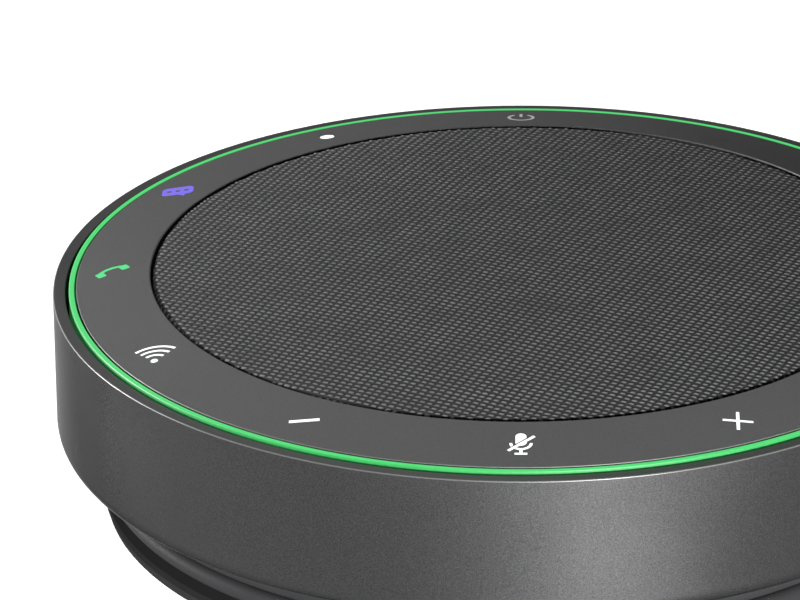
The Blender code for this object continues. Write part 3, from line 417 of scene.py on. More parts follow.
class Finish:
    """A node material under construction, with short ways to add and link its nodes."""

    def __init__(self, name):
        self.material = bpy.data.materials.new(name)
        self.material.use_nodes = True
        self.tree = self.material.node_tree
        self.shader = self.tree.nodes["Principled BSDF"]

    def fill(self, socket, value):
        """Links a socket to another node's output, or gives it a value."""
        if isinstance(value, bpy.types.NodeSocket):
            self.tree.links.new(value, socket)
        elif hasattr(value, "__len__") and len(value) == 3 and len(socket.default_value) == 4:
            socket.default_value = (*value, 1.0)
        else:
            socket.default_value = value

    def set(self, **values):
        """Sets the shader's own sockets: set(Roughness=0.4, Base_Color=(r, g, b))."""
        for key, value in values.items():
            self.fill(self.shader.inputs[key.replace("_", " ")], value)

    def add(self, kind, output, inputs=None, **fields):
        """Adds a node, sets its fields and inputs, and gives back one of its outputs."""
        made = self.tree.nodes.new(kind)
        for key, value in fields.items():
            setattr(made, key, value)
        for key, value in (inputs or {}).items():
            self.fill(made.inputs[key], value)
        return made.outputs[output]

    def place(self):
        """Where a point lies on the object, in metres."""
        return self.add("ShaderNodeTexCoord", "Object")

    def maths(self, operation, first, second=0.0):
        """The result of a Math node."""
        return self.add("ShaderNodeMath", 0, {0: first, 1: second}, operation=operation)

    def vector(self, operation, output, *vectors):
        """An output of a Vector Math node."""
        return self.add("ShaderNodeVectorMath", output, dict(enumerate(vectors)), operation=operation)

    def noise(self, size, detail=2.0, roughness=0.5, stretch=None):
        """Noise whose features are about size across, optionally stretched along an axis."""
        where = self.place()
        if stretch:
            where = self.vector("MULTIPLY", "Vector", where, stretch)
        return self.add("ShaderNodeTexNoise", "Fac", {
            "Vector": where, "Scale": 1.0 / size, "Detail": detail, "Roughness": roughness})

    def ramp(self, value, low, high, start, end):
        """Maps a value from start..end to low..high."""
        return self.add("ShaderNodeMapRange", "Result", {
            "Value": value, "From Min": start, "From Max": end, "To Min": low, "To Max": high})

    def blend(self, share, first, second):
        """A colour between two colours."""
        made = self.tree.nodes.new("ShaderNodeMix")
        made.data_type = "RGBA"
        for name, value in (("Factor", share), ("A", first), ("B", second)):
            self.fill(next(s for s in made.inputs if s.name == name and s.enabled), value)
        return next(s for s in made.outputs if s.enabled)

    def bump(self, height, distance, strength=1.0):
        """A normal from a height between 0 and 1, over a distance in metres."""
        return self.add("ShaderNodeBump", "Normal",
                        {"Height": height, "Distance": distance, "Strength": strength})


def tone(colour, factor):
    """A colour made lighter or darker."""
    return tuple(min(1.0, channel * factor) for channel in colour)


def satin_paint(name, colour, grain, roughness, metallic, contrast, painted_rim_sheen=None):
    """Satin paint with a fine metallic grain; a painted sheen can make the flat top of the rim lighter
    and less metallic, in a given colour.
    """
    made = Finish(name)
    speck = made.noise(grain, 3.0, 0.6)
    share = made.ramp(speck, 0.0, 1.0, 0.32, 0.68)
    cloud = made.noise(18 * MM, 2.0)
    colours = made.blend(share, tone(colour, 1.0 - contrast), tone(colour, 1.0 + contrast))
    rough = made.ramp(cloud, roughness - 0.03, roughness + 0.03, *MOST_NOISE)
    # Painted sheen: the rim's flat top, the same paint as the wall, is painted lighter and less metallic
    # to stand for the light it catches.
    if painted_rim_sheen:
        height = made.add("ShaderNodeSeparateXYZ", "Z", {"Vector": made.place()})
        level = made.ramp(height, 0.0, 1.0, RIM_TOP - 0.22 * MM, RIM_TOP - 0.06 * MM)
        colours = made.blend(level, colours, painted_rim_sheen)
        metallic = made.ramp(level, metallic, 0.3, 0.0, 1.0)
    made.set(Base_Color=colours, Roughness=rough, Metallic=metallic, Specular_Tint=(0.3, 0.3, 0.3),
             Normal=made.bump(speck, 0.012 * MM, 0.6), Specular_IOR_Level=0.25)
    return made.material


def ring_finish(name, grain):
    """The key ring's satin paint, which the unlit key has too."""
    return satin_paint(name, settings("shell").ring_paint, grain, 0.46, 0.3, 0.22)


def moulded_plastic(name, colour, roughness=0.55, grain=0.18 * MM, gloss=0.3):
    """Matte moulded plastic with a spark-eroded texture."""
    made = Finish(name)
    texture = made.noise(grain, 2.0, 0.6)
    cloud = made.noise(9 * MM, 3.0)
    colours = made.blend(cloud, tone(colour, 0.88), tone(colour, 1.14))
    rough = made.ramp(texture, roughness - 0.06, roughness + 0.06, *MOST_NOISE)
    made.set(Base_Color=colours, Roughness=rough, Normal=made.bump(texture, 0.02 * MM, 0.7),
             Specular_IOR_Level=gloss)
    return made.material


def soft_rubber(name, colour, roughness=0.78):
    """Matte rubber with a dusty bloom."""
    made = Finish(name)
    bloom = made.noise(5 * MM, 4.0, 0.6)
    texture = made.noise(0.3 * MM, 2.0)
    colours = made.blend(bloom, tone(colour, 0.85), tone(colour, 1.3))
    rough = made.ramp(bloom, roughness - 0.05, roughness + 0.08, *MOST_NOISE)
    made.set(Base_Color=colours, Roughness=rough,
             Normal=made.bump(texture, 0.02 * MM, 0.6), Specular_IOR_Level=0.0)
    return made.material


def plain_metal(name, colour, roughness=0.3, stretch=(1.0, 1.0, 0.05)):
    """Metal with the fine lines of drawing or turning."""
    made = Finish(name)
    lines = made.noise(0.12 * MM, 2.0, 0.5, stretch)
    colours = made.blend(lines, tone(colour, 0.85), tone(colour, 1.1))
    rough = made.ramp(lines, roughness - 0.06, roughness + 0.1, *MOST_NOISE)
    made.set(Base_Color=colours, Roughness=rough, Metallic=1.0,
             Normal=made.bump(lines, 0.006 * MM, 0.6))
    return made.material


def lit(name, colour, strength):
    """A lit diffuser: it shines in its own colour, a little unevenly."""
    made = Finish(name)
    cloud = made.noise(2.5 * MM, 2.0)
    glow = made.blend(cloud, tone(colour, 0.93), tone(colour, 1.07))
    made.set(Base_Color=tone(colour, 0.12), Roughness=0.45, Emission_Color=glow,
             Emission_Strength=strength, Specular_IOR_Level=0.2)
    return made.material


# ---------------------------------------------------------------- the key symbols
#
# Each symbol is a list of flat outlines round its own middle, +X to the right and +Y up, drawn a
# little bigger by grow for the window that it moves in.

STROKE = 0.42 * MM


def bar(start, end, width, grow):
    """A straight stroke with square ends."""
    start = Vector(start)
    end = Vector(end)
    along = (end - start).normalized()
    across = Vector((-along.y, along.x)) * (width / 2 + grow)
    start = start - along * grow
    end = end + along * grow
    return [tuple(p) for p in (start - across, end - across, end + across, start + across)]


def disc(middle, radius, grow, sides=40):
    """A round dot."""
    return [(middle[0] + (radius + grow) * math.cos(2 * math.pi * i / sides),
             middle[1] + (radius + grow) * math.sin(2 * math.pi * i / sides)) for i in range(sides)]


def arc(middle, radius, start, end, width, grow, sides=33):
    """A round stroke between two angles in degrees."""
    first = math.radians(start) - grow / radius
    last = math.radians(end) + grow / radius
    angles = [first + (last - first) * index / (sides - 1) for index in range(sides)]
    outer = radius + width / 2 + grow
    inner = radius - width / 2 - grow
    points = [(middle[0] + outer * math.cos(a), middle[1] + outer * math.sin(a)) for a in angles]
    return points + [(middle[0] + inner * math.cos(a), middle[1] + inner * math.sin(a))
                     for a in reversed(angles)]


def block(low, high, corner, grow):
    """An upright rectangle with rounded corners."""
    left, bottom = low[0] - grow, low[1] - grow
    right, top = high[0] + grow, high[1] + grow
    radius = corner + grow
    return rounded([(right, top, radius), (left, top, radius), (left, bottom, radius),
                    (right, bottom, radius)], steps=7, hold=1.0)


def rotated(outlines, angle):
    """Outlines turned round their middle by an angle in degrees."""
    spin = Matrix.Rotation(math.radians(angle), 2)
    return [[tuple(spin @ Vector(point)) for point in outline] for outline in outlines]


def mute_symbol(grow):
    """A microphone on its stand, crossed out."""
    return [block((-0.73 * MM, 0.0), (0.73 * MM, 2.75 * MM), 0.7 * MM, grow),
            arc((0.0, 0.55 * MM), 1.35 * MM, 180, 360, 0.38 * MM, grow),
            bar((0.0, -0.9 * MM), (0.0, -1.75 * MM), 0.36 * MM, grow),
            bar((-0.85 * MM, -1.85 * MM), (0.85 * MM, -1.85 * MM), 0.38 * MM, grow),
            bar((-1.7 * MM, -1.15 * MM), (1.8 * MM, 2.15 * MM), 0.42 * MM, grow)]


def mute_gap():
    """The dark line beside the stroke that crosses out the microphone."""
    return [bar((-1.25 * MM, -0.3 * MM), (1.2 * MM, 2.03 * MM), 0.17 * MM, 0.0)]


def volume_down_symbol(grow):
    """A minus."""
    return [bar((-2.05 * MM, 0.0), (2.05 * MM, 0.0), 0.58 * MM, grow)]


def volume_up_symbol(grow):
    """A plus."""
    return [bar((-2.05 * MM, 0.0), (2.05 * MM, 0.0), STROKE, grow),
            bar((0.0, -2.1 * MM), (0.0, 2.1 * MM), STROKE, grow)]


def wireless_symbol(grow):
    """Waves spreading from a point."""
    root = (0.0, -1.7 * MM)
    waves = [arc(root, radius * MM, 48, 132, STROKE, grow) for radius in (1.75, 2.9, 4.05)]
    return [disc((0.0, -1.55 * MM), 0.5 * MM, grow), *waves]


def handset_symbol(grow):
    """A handset lying with its ear and mouth pieces down."""
    return [arc((0.0, -2.2 * MM), 3.05 * MM, 52, 128, 0.62 * MM, grow),
            block((-2.45 * MM, -1.0 * MM), (-1.2 * MM, 0.55 * MM), 0.3 * MM, grow),
            block((1.2 * MM, -1.0 * MM), (2.45 * MM, 0.55 * MM), 0.3 * MM, grow)]


def answer_symbol(grow):
    """A handset lifted at one end."""
    return rotated(handset_symbol(grow), 28)


def meeting_symbol(grow):
    """A speech bubble with its tail."""
    tail = [(-0.3 * MM - grow, -1.0 * MM), (1.1 * MM + grow, -1.0 * MM),
            (1.1 * MM + grow, -2.3 * MM - grow)]
    return [block((-2.3 * MM, -1.35 * MM), (2.3 * MM, 2.1 * MM), 0.9 * MM, grow), tail]


def meeting_dots():
    """Three dots in the speech bubble."""
    return [disc((x * MM, 0.38 * MM), 0.36 * MM, 0.0) for x in (-1.25, 0.0, 1.25)]


def shortcut_symbol(grow):
    """A dot."""
    return [disc((0.0, 0.0), 1.06 * MM, grow)]


def power_symbol(grow):
    """An open circle with an upright bar."""
    return [arc((0.0, -0.1 * MM), 1.82 * MM, 122, 418, 0.45 * MM, grow, 65),
            bar((0.0, 0.3 * MM), (0.0, 2.3 * MM), 0.45 * MM, grow)]


def link_symbol(grow):
    """Two open loops with a bar between them."""
    return [arc((-1.0 * MM, 0.0), 1.1 * MM, 65, 295, STROKE, grow),
            arc((1.0 * MM, 0.0), 1.1 * MM, -115, 115, STROKE, grow),
            bar((-0.85 * MM, 0.0), (0.85 * MM, 0.0), STROKE, grow)]


def battery_symbol(grow):
    """A cell with its contact."""
    return [block((-2.2 * MM, -1.2 * MM), (1.75 * MM, 1.2 * MM), 0.35 * MM, grow),
            block((1.5 * MM, -0.5 * MM), (2.2 * MM, 0.5 * MM), 0.15 * MM, grow)]


WHITE = (0.93, 0.96, 1.0)
GREEN = (0.045, 0.50, 0.16)
RED = (0.9, 0.05, 0.04)
VIOLET = (0.13, 0.095, 0.56)
DIM_WHITE = (0.25, 0.25, 0.27)
UNLIT = (0.0, 0.0, 0.0)

# Key, angle round from the front with + to the right, symbol, dark marks in it, colour, slot.
KEYS = (
    ("mute", 0, mute_symbol, mute_gap, WHITE, "lit_white"),
    ("volume_up", 30, volume_up_symbol, None, WHITE, "lit_white"),
    ("link", 60, link_symbol, None, WHITE, "lit_white"),
    ("end_call", 90, handset_symbol, None, RED, "lit_red"),
    ("battery", 150, battery_symbol, None, UNLIT, "lit_white"),
    ("power", 180, power_symbol, None, DIM_WHITE, "lit_white"),
    ("shortcut", -150, shortcut_symbol, None, WHITE, "lit_white"),
    ("meeting", -120, meeting_symbol, meeting_dots, VIOLET, "lit_violet"),
    ("answer", -90, answer_symbol, None, GREEN, "lit_green_key"),
    ("wireless", -60, wireless_symbol, None, WHITE, "lit_white"),
    ("volume_down", -30, volume_down_symbol, None, WHITE, "lit_white"),
)
WINDOW_GAP = 0.03 * MM


def key_place(angle):
    """Where a key's middle stands, for its angle round from the front."""
    return around(KEY_CIRCLE, angle - 90)


def ring_height(radius):
    """The key ring's upper surface."""
    return RING_TOP - RING_SLOPE * (radius - RING_INNER)


# ---------------------------------------------------------------- operators

class SPEAKERPHONE_OT_shell(bpy.types.Operator):
    """Make the satin shell with its flat rim and turned-in floor"""

    bl_idname = "speakerphone.shell"
    bl_label = "Shell"
    bl_options = {"REGISTER", "UNDO"}

    def execute(self, context):
        values = settings("shell")
        rim_inner = BODY_RADIUS - RIM_WIDTH
        wall_inner = BODY_RADIUS - 3.5 * MM
        lip_inner = BASE_RADIUS + 1.2 * MM
        floor_low = DRUM_TOP + GAP
        floor_top = floor_low + 1.6 * MM
        ledge = low_of("chassis").z + 9.7 * MM
        floor_inner = wall_inner - 18.0 * MM
        outline = rounded([
            (rim_inner, RIM_TOP, 0.1 * MM), (BODY_RADIUS, RIM_TOP, values.edge),
            (BODY_RADIUS, SHELL_LOW, values.lower_edge), (lip_inner, SHELL_LOW, 0.3 * MM),
            (lip_inner, floor_low, 0.2 * MM), (floor_inner, floor_low, 0.0),
            (floor_inner, floor_top, 0.0), (wall_inner, floor_top, 0.0), (wall_inner, ledge, 0.0),
            (rim_inner, ledge, 0.0)])
        shell = turned("shell", outline)
        # The shell's paint carries a painted sheen on the rim's flat top, a lighter tone of the ring's
        # paint.
        paint = satin_paint("shell_paint_and_rim_sheen", values.paint, values.grain, roughness=0.37, metallic=0.88,
                            contrast=0.36, painted_rim_sheen=tone(values.ring_paint, 1.15))
        fit(shell, UNIT, "grey_shell", paint, "outer_housing")
        return {"FINISHED"}


class SPEAKERPHONE_OT_light_band(bpy.types.Operator):
    """Make the lit band that shines in the gap between the rim and the key ring"""

    bl_idname = "speakerphone.light_band"
    bl_label = "Light band"
    bl_options = {"REGISTER", "UNDO"}

    def execute(self, context):
        values = settings("light")
        foot_inner = RING_OUTER - 1.75 * MM
        low, high = heights("light_ring")
        foot_top = low + 1.3 * MM
        inner = LIGHT_OUTER - LIGHT_WIDTH
        outline = rounded([
            (foot_inner, low, 0.0), (LIGHT_OUTER, low, 0.0), (LIGHT_OUTER, high, 0.14 * MM),
            (inner, high, 0.14 * MM), (inner, foot_top, 0.0), (foot_inner, foot_top, 0.0)])
        band = turned("light_band", outline)
        fit(band, UNIT, "lit_green", self.glow(values), "light_ring")
        return {"FINISHED"}

    def glow(self, values):
        """Brightest along the band's middle, and darker towards both of its edges."""
        made = Finish("band_light")
        flat = made.vector("MULTIPLY", "Vector", made.place(), (1.0, 1.0, 0.0))
        radius = made.vector("LENGTH", "Value", flat)
        middle = LIGHT_OUTER - LIGHT_WIDTH / 2
        away = made.maths("ABSOLUTE", made.maths("SUBTRACT", radius, middle))
        core = made.ramp(away, 1.0, 0.0, LIGHT_WIDTH * 0.38, LIGHT_WIDTH * 0.50)
        cloud = made.noise(25 / 3 * MM)
        level = made.maths("MULTIPLY", core, made.ramp(cloud, 0.96, 1.04, *MOST_NOISE))
        colours = made.blend(level, tone(values.band, 0.10), values.band)
        made.set(Base_Color=tone(values.band, 0.12), Roughness=0.45, Emission_Color=colours,
                 Emission_Strength=values.band_strength, Specular_IOR_Level=0.2)
        return made.material


class SPEAKERPHONE_OT_key_ring(bpy.types.Operator):
    """Make the sloping ring, with a window in the shape of each key's symbol"""

    bl_idname = "speakerphone.key_ring"
    bl_label = "Key ring"
    bl_options = {"REGISTER", "UNDO"}

    def execute(self, context):
        thickness = 1.4 * MM
        inner_skirt = RING_INNER + 1.05 * MM
        outer_skirt = RING_OUTER - 1.05 * MM
        outline = rounded([
            (outer_skirt, SKIRT_LOW, 0.0), (RING_OUTER, SKIRT_LOW, 0.0),
            (RING_OUTER, ring_height(RING_OUTER), 0.12 * MM), (RING_INNER, RING_TOP, 0.14 * MM),
            (RING_INNER, SKIRT_LOW, 0.0), (inner_skirt, SKIRT_LOW, 0.0),
            (inner_skirt, ring_height(inner_skirt) - thickness, 0.0),
            (outer_skirt, ring_height(outer_skirt) - thickness, 0.0)])
        ring = turned("key_ring", outline, 360)
        low = ring_height(RING_OUTER) - 2 * thickness
        windows = []
        for _, angle, symbol, _, _, _ in KEYS:
            window = fused(symbol(WINDOW_GAP), low, RING_TOP + MM)
            windows.append(moved(window, key_place(angle)))
        combine(ring, joined(windows), "DIFFERENCE")
        paint = ring_finish("ring_paint", settings("shell").grain * 0.8)
        fit(ring, UNIT, "grey_ring", paint, "button_ring")
        return {"FINISHED"}


class SPEAKERPHONE_OT_keys(bpy.types.Operator):
    """Make the keys: light guides whose symbols show in the ring's windows"""

    bl_idname = "speakerphone.keys"
    bl_label = "Keys"
    bl_options = {"REGISTER", "UNDO"}

    def execute(self, context):
        strength = settings("light").symbol_strength
        for name, angle, symbol, marks, colour, slot in KEYS:
            node = "key_" + name
            low = low_of(node).z
            place = key_place(angle)
            foot = rod(KEY_RADIUS, low, low + 1.1 * MM, 48)
            guide = fused(symbol(0.0), low + 0.4 * MM, RING_TOP + MM)
            key = shape_object("symbol_" + name, moved(foot, place))
            combine(key, moved(guide, place), "UNION")
            combine(key, self.slab(place, 0.0), "DIFFERENCE")
            if colour is UNLIT:
                face = ring_finish(node + "_face", 0.18 * MM)
            else:
                face = lit(node + "_light", colour, strength)
            fit(key, node + "_body", slot, face, node)
            if marks:
                self.inlay(node, place, marks())
        return {"FINISHED"}

    def inlay(self, node, place, outlines):
        """Dark marks set into a lit symbol."""
        low = ring_height(KEY_CIRCLE) - 0.4 * MM
        inlay = shape_object("marks_" + node, moved(fused(outlines, low, RING_TOP + MM), place))
        combine(inlay, self.slab(place, 0.015 * MM), "DIFFERENCE")
        ink = moulded_plastic(node + "_ink", (0.035, 0.035, 0.036), 0.5)
        fit(inlay, node + "_body", "grey_ring", ink)

    def slab(self, place, lift):
        """A slab whose underside is the plane of the ring's surface at a key, lifted a little."""
        outward = place.normalized()
        half = 4.5 * MM
        thickness = 5 * MM
        slab = box((-half, -half, 0.0), (half, half, thickness))
        for point in slab.verts:
            if point.co.z > 0.0:
                point.co.z = RING_TOP + thickness
            else:
                rise = -RING_SLOPE * (point.co.x * outward.x + point.co.y * outward.y)
                point.co.z = ring_height(KEY_CIRCLE) + rise + lift
        return moved(slab, place)


class SPEAKERPHONE_OT_cloth(bpy.types.Operator):
    """Weave the grille cloth: light threads that float over dark ones"""

    bl_idname = "speakerphone.cloth"
    bl_label = "Grille cloth"
    bl_options = {"REGISTER", "UNDO"}

    def execute(self, context):
        values = settings("cloth")
        along = np.array([math.cos(values.direction), math.sin(values.direction)])
        across = np.array([-along[1], along[0]])
        step = along * values.float_pitch
        side = across * values.thread_pitch + along * values.shift
        fine_along, fine_across = 3, 4
        reach = int(CLOTH_RADIUS / min(values.float_pitch, values.thread_pitch) * 1.15)
        count_along = 2 * reach * fine_along + 1
        count_across = 2 * reach * fine_across + 1
        s = (np.arange(count_along) / fine_along - reach)[:, None] + np.zeros(count_across)[None, :]
        t = (np.arange(count_across) / fine_across - reach)[None, :] + np.zeros(count_along)[:, None]
        x = s * step[0] + t * side[0]
        y = s * step[1] + t * side[1]
        radius = np.hypot(x, y)
        inside = radius < CLOTH_RADIUS
        shrink = np.where(inside, 1.0, CLOTH_RADIUS / np.maximum(radius, 1e-9))
        z = self.height(np.minimum(radius, CLOTH_RADIUS), s, t, values.relief)
        points = np.stack([x * shrink, y * shrink, z], axis=-1).reshape(-1, 3)
        index = np.arange(count_along * count_across).reshape(count_along, count_across)
        quads = np.stack([index[:-1, :-1], index[1:, :-1], index[1:, 1:], index[:-1, 1:]], axis=-1)
        touched = (inside[:-1, :-1] | inside[1:, :-1] | inside[1:, 1:] | inside[:-1, 1:])
        quads = quads[touched].reshape(-1, 4)
        used, packed = np.unique(quads, return_inverse=True)
        cloth = mesh_object("grille_weave", points[used].tolist(), packed.reshape(-1, 4).tolist(), 180.0)
        self.hem(cloth)
        fit(cloth, UNIT, "grille_cloth", self.threads(values, step, side), "grille_fabric")
        return {"FINISHED"}

    def height(self, radius, s, t, relief):
        """The domed cloth with its floats standing proud, bending down at its edge."""
        crown = CLOTH_TOP - CLOTH_CROWN * (radius / RING_INNER) ** 2 - 0.12 * MM
        float_light = np.cos(math.pi * s) ** 2 * np.cos(math.pi * t) ** 2
        float_dark = np.sin(math.pi * s) ** 2 * np.sin(math.pi * t) ** 2
        bend = 0.7 * MM
        past = np.clip((radius - (CLOTH_RADIUS - bend)) / bend, 0.0, 1.0)
        return crown + relief * (float_light + 0.55 * float_dark - 0.5) - 0.75 * MM * past ** 3

    def hem(self, cloth):
        """Turns the cloth's edge straight down behind the key ring."""
        shape = bmesh.new()
        shape.from_mesh(cloth.data)
        low = low_of("grille_fabric").z
        below = {}
        for loop in [edge.link_loops[0] for edge in shape.edges if edge.is_boundary]:
            first, second = loop.vert, loop.link_loop_next.vert
            for point in (first, second):
                if point not in below:
                    below[point] = shape.verts.new((point.co.x, point.co.y, low))
            shape.faces.new((second, first, below[first], below[second]))
        shape.to_mesh(cloth.data)
        shape.free()
        cloth.data.shade_smooth()

    def threads(self, values, step, side):
        """Light floats on a dark ground, each thread made of fine twisted yarn."""
        made = Finish("grille_threads")
        turn = np.linalg.inv(np.array([step, side]).T)
        where = made.place()
        waves = []
        # Along a light thread, then across it: the wobble's size and share, and the float's sharpness.
        for row, size, wobble, power in ((turn[0], 1.6 * MM, 0.09, 0.8), (turn[1], 2.3 * MM, 0.07, 2.0)):
            count = made.vector("DOT_PRODUCT", "Value", where, (row[0], row[1], 0.0))
            stray = made.ramp(made.noise(size), -wobble, wobble, *MOST_NOISE)
            phase = made.maths("MULTIPLY", made.maths("ADD", count, stray), math.pi)
            wave = made.maths("ABSOLUTE", made.maths("COSINE", phase))
            waves.append(made.maths("POWER", wave, power))
        crown = made.maths("MULTIPLY", *waves)
        fray = made.maths("MULTIPLY", made.maths("SUBTRACT", made.noise(0.25 * MM, 3.0, 0.7), 0.5), 0.35)
        share = made.ramp(made.maths("ADD", crown, fray), 0.0, 1.0, 0.40, 0.66)
        yarn = made.add("ShaderNodeTexWave", "Fac",
                        {"Vector": where, "Scale": 1.0 / (0.9 * MM), "Distortion": 2.0, "Detail": 2.0},
                        wave_type="BANDS", bands_direction="DIAGONAL")
        patch = made.ramp(made.noise(7 * MM), 0.0, 1.0, *MOST_NOISE)
        light = made.blend(patch, tone(values.light_thread, 0.78), tone(values.light_thread, 1.18))
        relief = made.maths("ADD", crown, made.maths("MULTIPLY", yarn, 0.25))
        made.set(Base_Color=made.blend(share, values.dark_thread, light),
                 Roughness=made.ramp(share, 0.85, 0.7, 0.0, 1.0), Sheen_Weight=0.05, Sheen_Roughness=0.5,
                 Specular_IOR_Level=0.25, Normal=made.bump(relief, 0.10 * MM, 0.6))
        return made.material


class SPEAKERPHONE_OT_base(bpy.types.Operator):
    """Make the base plate, the rubber foot, the blank label and the base screws, and give the drum its
    finish
    """

    bl_idname = "speakerphone.base"
    bl_label = "Base"
    bl_options = {"REGISTER", "UNDO"}

    def execute(self, context):
        black = moulded_plastic("base_plastic", (0.0065, 0.0065, 0.0068), 0.8, gloss=0.0)
        self.plate(black)
        wear(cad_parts["cable_drum"], black)
        outer = high_of("foot_ring").x
        low, high = heights("foot_ring")
        top = high + 0.28 * MM
        foot = turned("foot", rounded([
            (FOOT_INNER, low, 0.3 * MM), (outer, low, 0.35 * MM), (outer, top, 0.0),
            (FOOT_INNER, top, 0.0)]))
        fit(foot, UNIT, "black_rubber", soft_rubber("foot_rubber", (0.010, 0.010, 0.010)), "foot_ring")
        radius = high_of("label_plate").x
        low, high = heights("label_plate")
        label = turned("label", rounded([
            (0.0, low, 0.0), (radius, low, 0.12 * MM), (radius, high, 0.0), (0.0, high, 0.0)]))
        film = moulded_plastic("label_film", (0.035, 0.035, 0.036), 0.42, 0.5 * MM)
        fit(label, UNIT, "label", film, "label_plate")
        self.screws()
        return {"FINISHED"}

    def screw_place(self, number):
        """A base screw's axis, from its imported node's box."""
        low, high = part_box(f"base_screw_{number}")
        return Vector(((low.x + high.x) / 2, (low.y + high.y) / 2, 0.0))

    def plate(self, black):
        """The base plate, hollow under the foot and the label, with a sunk hole for each screw."""
        low = high_of("foot_ring").z + GAP
        top = DRUM_LOW - GAP
        edge = top - 0.95 * MM
        middle = low_of("base_plate").z
        foot_inner = FOOT_INNER - GAP
        label = high_of("label_plate").x + GAP
        over_label = low + 0.4 * MM
        outline = rounded([
            (0.0, over_label, 0.0), (label, over_label, 0.0), (label, middle, 0.15 * MM),
            (foot_inner, middle, 0.15 * MM), (foot_inner, low, 0.0), (BASE_RADIUS, low, 0.2 * MM),
            (BASE_RADIUS, edge, 0.14 * MM), (BASE_RADIUS - 1.7 * MM, top, 1.2 * MM), (0.0, top, 0.0)])
        plate = turned("base", outline)
        for number in range(1, 5):
            place = self.screw_place(number)
            for radius, end in ((2.5 * MM, middle + 1.1 * MM), (1.4 * MM, top + MM)):
                combine(plate, moved(rod(radius, middle - MM, end), place), "DIFFERENCE")
        fit(plate, UNIT, "black_plastic", black, "base_plate")

    def screws(self):
        """The four base screws, each with a six-lobed socket in its head."""
        steel = plain_metal("screw_steel", (0.42, 0.42, 0.43), 0.35, (1.0, 1.0, 1.0))
        for number in range(1, 5):
            node = f"base_screw_{number}"
            low, high = heights(node)
            radius = 2.2 * MM
            shank = 1.1 * MM
            head = low + 0.75 * MM
            outline = rounded([
                (0.0, low, 0.0), (radius, low, 0.3 * MM), (radius, head, 0.0), (shank, head, 0.0),
                (shank, high - 0.5 * MM, 0.0), (0.0, high, 0.0)], 4)
            screw = turned(f"screw_{number}", outline, 48)
            lobe = 0.95 * MM
            socket = [around(lobe if angle % 60 == 0 else lobe * 0.72, angle)[:2]
                      for angle in range(0, 360, 30)]
            combine(screw, prism(socket, low - MM, low + 0.55 * MM), "DIFFERENCE")
            screw.data.transform(Matrix.Translation(self.screw_place(number)))
            fit(screw, UNIT, "steel", steel, node)


class SPEAKERPHONE_OT_lead(bpy.types.Operator):
    """Wind the USB lead into the groove, with its gland and its plug"""

    bl_idname = "speakerphone.lead"
    bl_label = "USB lead"
    bl_options = {"REGISTER", "UNDO"}

    GLAND_LENGTH = 9.5 * MM
    SETTLE = (2, 16)              # degrees past the gland where the lead comes down to the upper turn
    CLIMB = (395, 425)            # degrees where it climbs over the plug
    DESCEND = (468, 494)          # degrees where it comes down to the lower turn

    def execute(self, context):
        values = settings("lead")
        route = self.route(values.turns_points)
        curve = bpy.data.curves.new("lead", "CURVE")
        curve.dimensions = "3D"
        curve.bevel_depth = LEAD_DIAMETER / 2
        curve.bevel_resolution = 6
        curve.use_fill_caps = True
        spline = curve.splines.new("POLY")
        spline.points.add(len(route) - 1)
        for point, place in zip(spline.points, route):
            point.co = (*place, 1.0)
        spline.use_smooth = True
        lead = linked("lead", curve)
        jacket = moulded_plastic("lead_jacket", values.jacket, 0.6, 0.4 * MM, 0.02)
        fit(lead, UNIT, "cable_jacket", jacket, "usb_cable")
        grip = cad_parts["plug_body"]
        wear(grip, moulded_plastic("plug_moulding", (0.022, 0.022, 0.023), 0.5))
        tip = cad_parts["plug_shell"]
        wear(tip, plain_metal("plug_steel", (0.6, 0.6, 0.61), 0.28, (0.05, 1.0, 1.0)))
        wear(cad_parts["cable_gland"], soft_rubber("gland_rubber", (0.018, 0.018, 0.018)))
        return {"FINISHED"}

    def ease(self, value, start, end):
        """0 before start, 1 after end, and a smooth rise between."""
        share = min(max((value - start) / (end - start), 0.0), 1.0)
        return share * share * (3 - 2 * share)

    def lead_height(self, angle, first):
        """The lead's height; the angle runs on from the gland past 360 degrees."""
        lowest = DRUM_LOW + LEAD_DIAMETER / 2
        upper = lowest + LEAD_DIAMETER + 0.15 * MM
        over_plug = high_of("plug_body").z + GAP + LEAD_DIAMETER / 2
        height = upper + 0.5 * MM * (1.0 - self.ease(angle - first, *self.SETTLE))
        height += (over_plug - upper) * self.ease(angle, *self.CLIMB)
        return height + (lowest - height) * self.ease(angle, *self.DESCEND)

    def route(self, count):
        """The lead's middle line: out of the gland, two turns round the drum, into the plug."""
        first = GLAND_ANGLE + math.degrees(self.GLAND_LENGTH / WIND_RADIUS)
        points = []
        for index in range(count):
            angle = first + (LEAD_END - first) * index / (count - 1)
            points.append(around(WIND_RADIUS, angle, self.lead_height(angle, first)))
        low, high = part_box("plug_body")
        start = points[-1]
        end = Vector((high.x + GAP, (low.y + high.y) / 2, (low.z + high.z) / 2))
        reach = (end - start).length
        leave = around(1.0, LEAD_END + 90) * reach
        arrive = Vector((-1.0, 0.0, 0.0)) * reach
        steps = 12
        for index in range(1, steps + 1):
            share = index / steps
            square = share * share
            cube = square * share
            points.append(start * (2 * cube - 3 * square + 1) + leave * (cube - 2 * square + share)
                          + end * (3 * square - 2 * cube) + arrive * (cube - square))
        return points


